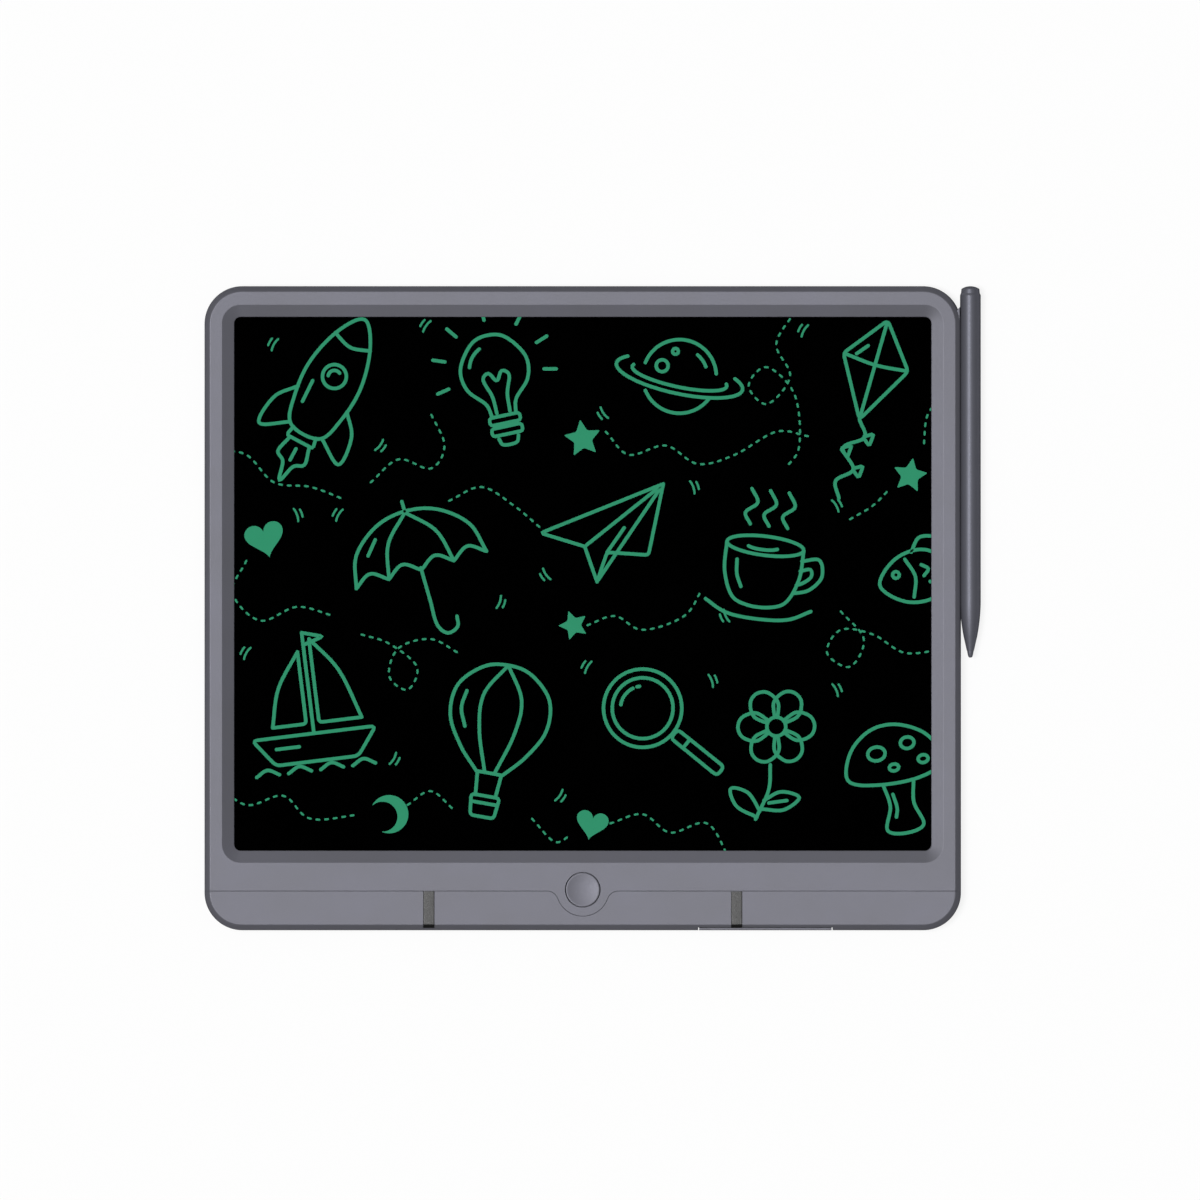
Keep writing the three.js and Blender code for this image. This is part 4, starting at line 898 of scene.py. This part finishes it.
# Balloon
motif(-38, -68, 0.96, -10,
      folded((-6, -15), (-15, -5), (-22, 8), (-21, 22), (-11, 32), (0, 34.5)),
      *pair((-2.2, -15), (-8, 4), (-8.6, 20), (0, 34.5)),
      ((-6, -15), (6, -15)), *pair((-5.5, -15), (-4.6, -25)),
      bent(1.6, (-6.5, -25.5), (6.5, -25.5), (5.4, -35), (-5.4, -35)),
      ((-6, -28.8), (6, -28.8)), ((-16.5, 20), (-17.6, 12), (-14.6, 4)))
# Magnifying glass
motif(26, -54, 1.0, 6,
      oval(0, 0, 17), oval(0, 0, 13.2), oval(0, 0, 9.6, start=110, end=165),
      bent(1.8, (10.8, -14.2), (14.2, -10.8), (32.5, -29), (29, -32.5)),
      ((15.7, -18.9), (18.9, -15.7)), oval(0, 0, 9.6, start=92, end=99))
# Flower
motif(84, -62, 0.98, -14,
      *[smooth((3.2, -2.6), (9, -6.2), (15, -4.4), (17, 0), (15, 4.4), (9, 6.2), (3.2, 2.6))
        @ turnedBy(angle) for angle in range(15, 375, 60)], oval(0, 0, 4.2),
      ((1.5, -17), (3.5, -28), (1, -42)),
      ((2.6, -33), (9, -27.5), (17.5, -28), (12, -35), (2.4, -37)),
      ((5, -33.6), (12.5, -30.6)),
      ((2, -38), (-5, -31.5), (-13, -31.5), (-8.5, -38.5), (1.4, -41)))
# Mushroom
motif(136, -82, 1.0, 10,
      smooth((-21, 0), (-18, 12), (-8, 20), (4, 20.6), (16, 14), (21, 2), (10, -3.6), (-8, -4),
             closed=True),
      ((-6.5, -4.2), (-5, -14), (-8, -24), (0, -26.5), (8, -24), (5.4, -14), (7, -4)),
      oval(-7, 9.5, 3.8, 3), oval(7, 12, 3, 2.5), oval(12.6, 4, 2.2, 1.7),
      oval(-0.5, 2.4, 2.1, 1.5), ((-3, -9), (-2.2, -15), (-3.2, -19)))

# Filled shapes: outline, place, width and turn
filled = [
    (heart, -138, 20, 17, 14), (star, 0, 63, 15, 8), (moon, -84, -100, 16, 200),
    (heart, 4, -104, 14, -12), (star, 142, 47, 14, -10), (star, -4, -18, 12, 20),
]
# Places and turns of the paired ticks
tickMarks = [
    (-134, 104, 150), (-88, 60, -38), (-68, 112, 145), (9, 74, 215), (96, 110, 150),
    (-106, 30, 150), (-36, -8, -20), (48, 42, 20), (-16, 4, 215), (110, 34, 30), (62, -14, 205),
    (-146, -30, 150), (-82, -76, -30), (-10, -92, -35), (2, -36, 150), (56, -42, 20),
    (110, -46, 25), (-124, 30, 20), (154, 34, 10),
]
# Dashed lines, each along a curve through its points
trails = [smooth(*points) for points in (
    ((-92, 44), (-80, 54), (-66, 50), (-60, 60), (-66, 74)),
    ((10, 66), (20, 56), (36, 60), (50, 52), (66, 56), (84, 66), (98, 64)),
    ((92, 118), (84, 104), (90, 90), (80, 78), (72, 86), (80, 94), (92, 82), (94, 60), (88, 50)),
    ((-160, 58), (-146, 56), (-134, 44), (-118, 42), (-102, 36)),
    ((-146, 10), (-152, -4), (-140, -16), (-124, -10), (-108, -14)),
    ((-96, -22), (-84, -26), (-72, -36), (-76, -46), (-84, -40), (-80, -28), (-66, -24),
     (-54, -30)),
    ((-58, 36), (-44, 42), (-30, 34), (-18, 24)), ((-76, -96), (-66, -90), (-56, -98)),
    ((-22, -102), (-12, -112), (-4, -108)),
    ((12, -104), (26, -100), (38, -108), (54, -104), (64, -120)),
    ((2, -18), (14, -14), (26, -20), (44, -14), (52, -2)), ((116, 28), (126, 34), (134, 42)),
    ((112, -12), (122, -24), (116, -36), (106, -30), (112, -20), (126, -22), (140, -30),
     (158, -28)),
    ((-160, -86), (-146, -96), (-130, -92), (-118, -102), (-96, -100)),
    ((160, 84), (150, 74), (148, 60)),
)]


def lengthsAlong(line):
    # How far along the line each of its points is
    return summed(np.hypot(*np.diff(line, axis=0).T))


def pointsAt(places, line):
    # The points of a line at these places along it
    lengths = lengthsAlong(line)
    return np.stack([np.interp(places, lengths, axis) for axis in line.T], axis=-1)


def evenly(line, step):
    # The same line with its points one step apart along it
    length = lengthsAlong(line)[-1]
    return pointsAt(np.linspace(0, length, max(int(round(length / step)), 1) + 1), line)


def insideWindow(line):
    # The stretches of a line that show through the window, with a little under its lip
    halfX = case["windowWidth"] / 2 + ink["reach"]
    halfY = case["windowHeight"] / 2 + ink["reach"]
    shown = (np.abs(line[:, 0]) < halfX) & (np.abs(line[:, 1] - case["windowRise"]) < halfY)
    changes = np.flatnonzero(np.diff(shown)) + 1
    return [part for part, keep in zip(np.split(line, changes), np.split(shown, changes))
            if keep[0] and len(part) > 1]


def inkBead(line, width, layer):
    # A low section carried along the line. It ends in half circles, or joins into a ring where
    # the line comes back to its start.
    closed = len(line) > 3 and np.allclose(line[0], line[-1])
    if closed:
        line = line[:-1]
        along = unit(np.roll(line, -1, axis=0) - np.roll(line, 1, axis=0))
    else:
        along = unit(np.gradient(line, axis=0))
    side = columns(-along[:, 1], along[:, 0])
    middle, across, widths = line, side, np.full(len(line), width)
    if not closed:
        turn, count = np.radians(ink["endTurns"]), len(ink["endTurns"])
        reach, narrow = width / 2 * np.sin(turn)[:, None], np.cos(turn)
        middle = rows(line[0] - along[0] * reach, line, line[-1] + along[-1] * reach[::-1])
        across = rows(*[side[0]] * count, side, *[side[-1]] * count)
        widths = np.r_[narrow, np.ones(len(line)), narrow[::-1]] * width
    section = np.array(ink["section"])
    flat = middle[:, None] + across[:, None] * widths[:, None, None] * section[None, :, :1]
    low = filmTop + ink["lift"] * (1 + layer % ink["layers"])
    heights = np.broadcast_to(low + ink["height"] * section[:, 1], flat.shape[:2])
    return gridPart(np.dstack([flat, heights]), wrapRows=closed, wrapColumns=True)


def inkBlot(outline):
    # An outline at the film, and a slightly smaller one a bead's height above
    outline = outline[:-1]
    inner = outline + (outline.mean(axis=0) - outline) * ink["blotEdge"]
    low = filmTop + ink["lift"]
    points = np.stack([raised(outline, low), raised(inner, low + ink["height"])], axis=1)
    return gridPart(points, wrapRows=True, caps=True)


def dashes(trail):
    # Short straight strokes at even places along the trail
    fine = evenly(trail, ink["dashStep"])
    starts = np.arange(0, lengthsAlong(fine)[-1] - ink["dash"], ink["dashPitch"])
    return list(pointsAt(starts[:, None] + np.array([0, 0.5, 1]) * ink["dash"], fine))


def makeDrawing():
    # Each stroke's points are set evenly, cut at the window, and made into a bead. Neighbours
    # lie in layers a few microns apart, so that none share a face.
    strokes = [(evenly(line, ink["step"]), ink["line"]) for line in drawing]
    strokes += [(evenly(line, ink["step"]), ink["fine"]) for x, y, angle in tickMarks
                for line in placedLines(ticks, x, y, ink["tickScale"], angle)]
    strokes += [(line, ink["dashWidth"]) for trail in trails
                for line in dashes(trail + [0, case["windowRise"]])]
    shown = [(part, width) for line, width in strokes for part in insideWindow(line)]
    beads = [inkBead(part, width, layer) for layer, (part, width) in enumerate(shown)]
    beads += [inkBlot(outline) for shape, *place in filled
              for outline in placedLines([shape], *place)]
    piece = meshPiece("written_lines", *beads, sharpest=ink["sharpest"])
    finishPiece(piece, "litGreenCrystal", "black_film", "tablet")


makeDrawing()
print("drawing made")


# Studio: a pale floor, one soft box above and to the left, and a room round it

studio = {
    "floorRadius": 30.0, "floorSides": 96, "ringRise": 3.0,
    "floorColour": "#868686", "floorShown": "#FAFAFA", "floorGlow": 0.86,
    "boxDistance": 36.0, "boxLean": 14.5, "boxSize": 12.0, "boxPower": 9750.0,
    "roomColour": "#FFFFFF", "roomHigh": 0.36, "roomLow": 0.0, "belowFloor": 0.98,
}


def makeFloor():
    # A round floor, with a low ring round its edge that closes the horizon. Cameras, gloss and
    # glass see its pale grey nearly white, with the shadow kept.
    sides, rise = studio["floorSides"], studio["ringRise"]
    rim = arc((0, 0), 0, 360, studio["floorRadius"], sides + 1)[:-1]
    points = rows(*[raised(rim, height) for height in (-rise, 0, rise)])
    disk = tuple(range(sides, 2 * sides))
    mesh = bpy.data.meshes.new("floor")
    mesh.from_pydata(points.tolist(), [], gridFaces(3, sides, wrapColumns=True) + [disk])
    floor = newObject("floor", mesh)
    material = bpy.data.materials.new("paleStudioFloor")
    tree = emptyTree(material)
    rays = addNode(tree, "LightPath").outputs
    seen = rays["Is Camera Ray"]
    for ray in ("Is Glossy Ray", "Is Transmission Ray"):
        either = addNode(tree, "Math", {"operation": "MAXIMUM"}, links={0: seen, 1: rays[ray]})
        seen = either.outputs[0]
    grey = addNode(tree, "BsdfDiffuse", values={"Color": linear(studio["floorColour"])})
    paper = addNode(tree, "BsdfDiffuse", values={"Color": linear(studio["floorShown"])})
    white = addNode(tree, "Emission")
    shown = addNode(tree, "MixShader", values={0: studio["floorGlow"]}, links={
        1: paper.outputs[0], 2: white.outputs[0]})
    both = addNode(tree, "MixShader", links={
        0: seen, 1: grey.outputs[0], 2: shown.outputs[0]})
    addNode(tree, "OutputMaterial", links={"Surface": both.outputs[0]})
    mesh.materials.append(material)


def makeLights():
    # A round lamp at its distance times the sine and cosine of its lean. The room is light above
    # and darkens down to the horizon; under the floor it is white.
    lean, distance = radians(studio["boxLean"]), studio["boxDistance"]
    lamp = bpy.data.lights.new("soft box", "AREA")
    lamp.shape = "DISK"
    lamp.size = studio["boxSize"]
    lamp.energy = studio["boxPower"]
    box = newObject("soft box", lamp)
    box.location = (-distance * np.sin(lean), 0, distance * np.cos(lean))
    box.rotation_euler = (0, -lean, 0)
    room = bpy.data.worlds.new("room")
    tree = emptyTree(room)
    towards = addNode(tree, "TexCoord").outputs["Generated"]
    height = addNode(tree, "SeparateXYZ", links={"Vector": towards}).outputs["Z"]
    strength = addNode(tree, "MapRange", values={
        "To Min": studio["roomLow"], "To Max": studio["roomHigh"]}, links={"Value": height})
    below = addNode(tree, "Math", {"operation": "LESS_THAN"}, {1: 0.0}, {0: height})
    both = addNode(tree, "Math", {"operation": "MULTIPLY_ADD"}, {
        1: studio["belowFloor"]}, {0: below.outputs[0], 2: strength.outputs["Result"]})
    light = addNode(tree, "Background", values={"Color": linear(studio["roomColour"])},
                    links={"Strength": both.outputs[0]})
    addNode(tree, "OutputWorld", links={"Surface": light.outputs[0]})
    scene.world = room


camera = {"x": 0.003195, "y": 0.00356, "height": 2.0, "across": 0.5208}


def makeCamera():
    # Straight above the tablet, without perspective
    lens = bpy.data.cameras.new("camera")
    lens.type = "ORTHO"
    lens.ortho_scale = camera["across"]
    eye = newObject("camera", lens)
    eye.location = (camera["x"], camera["y"], camera["height"])
    scene.camera = eye


makeFloor()
makeLights()
makeCamera()
print("studio made")
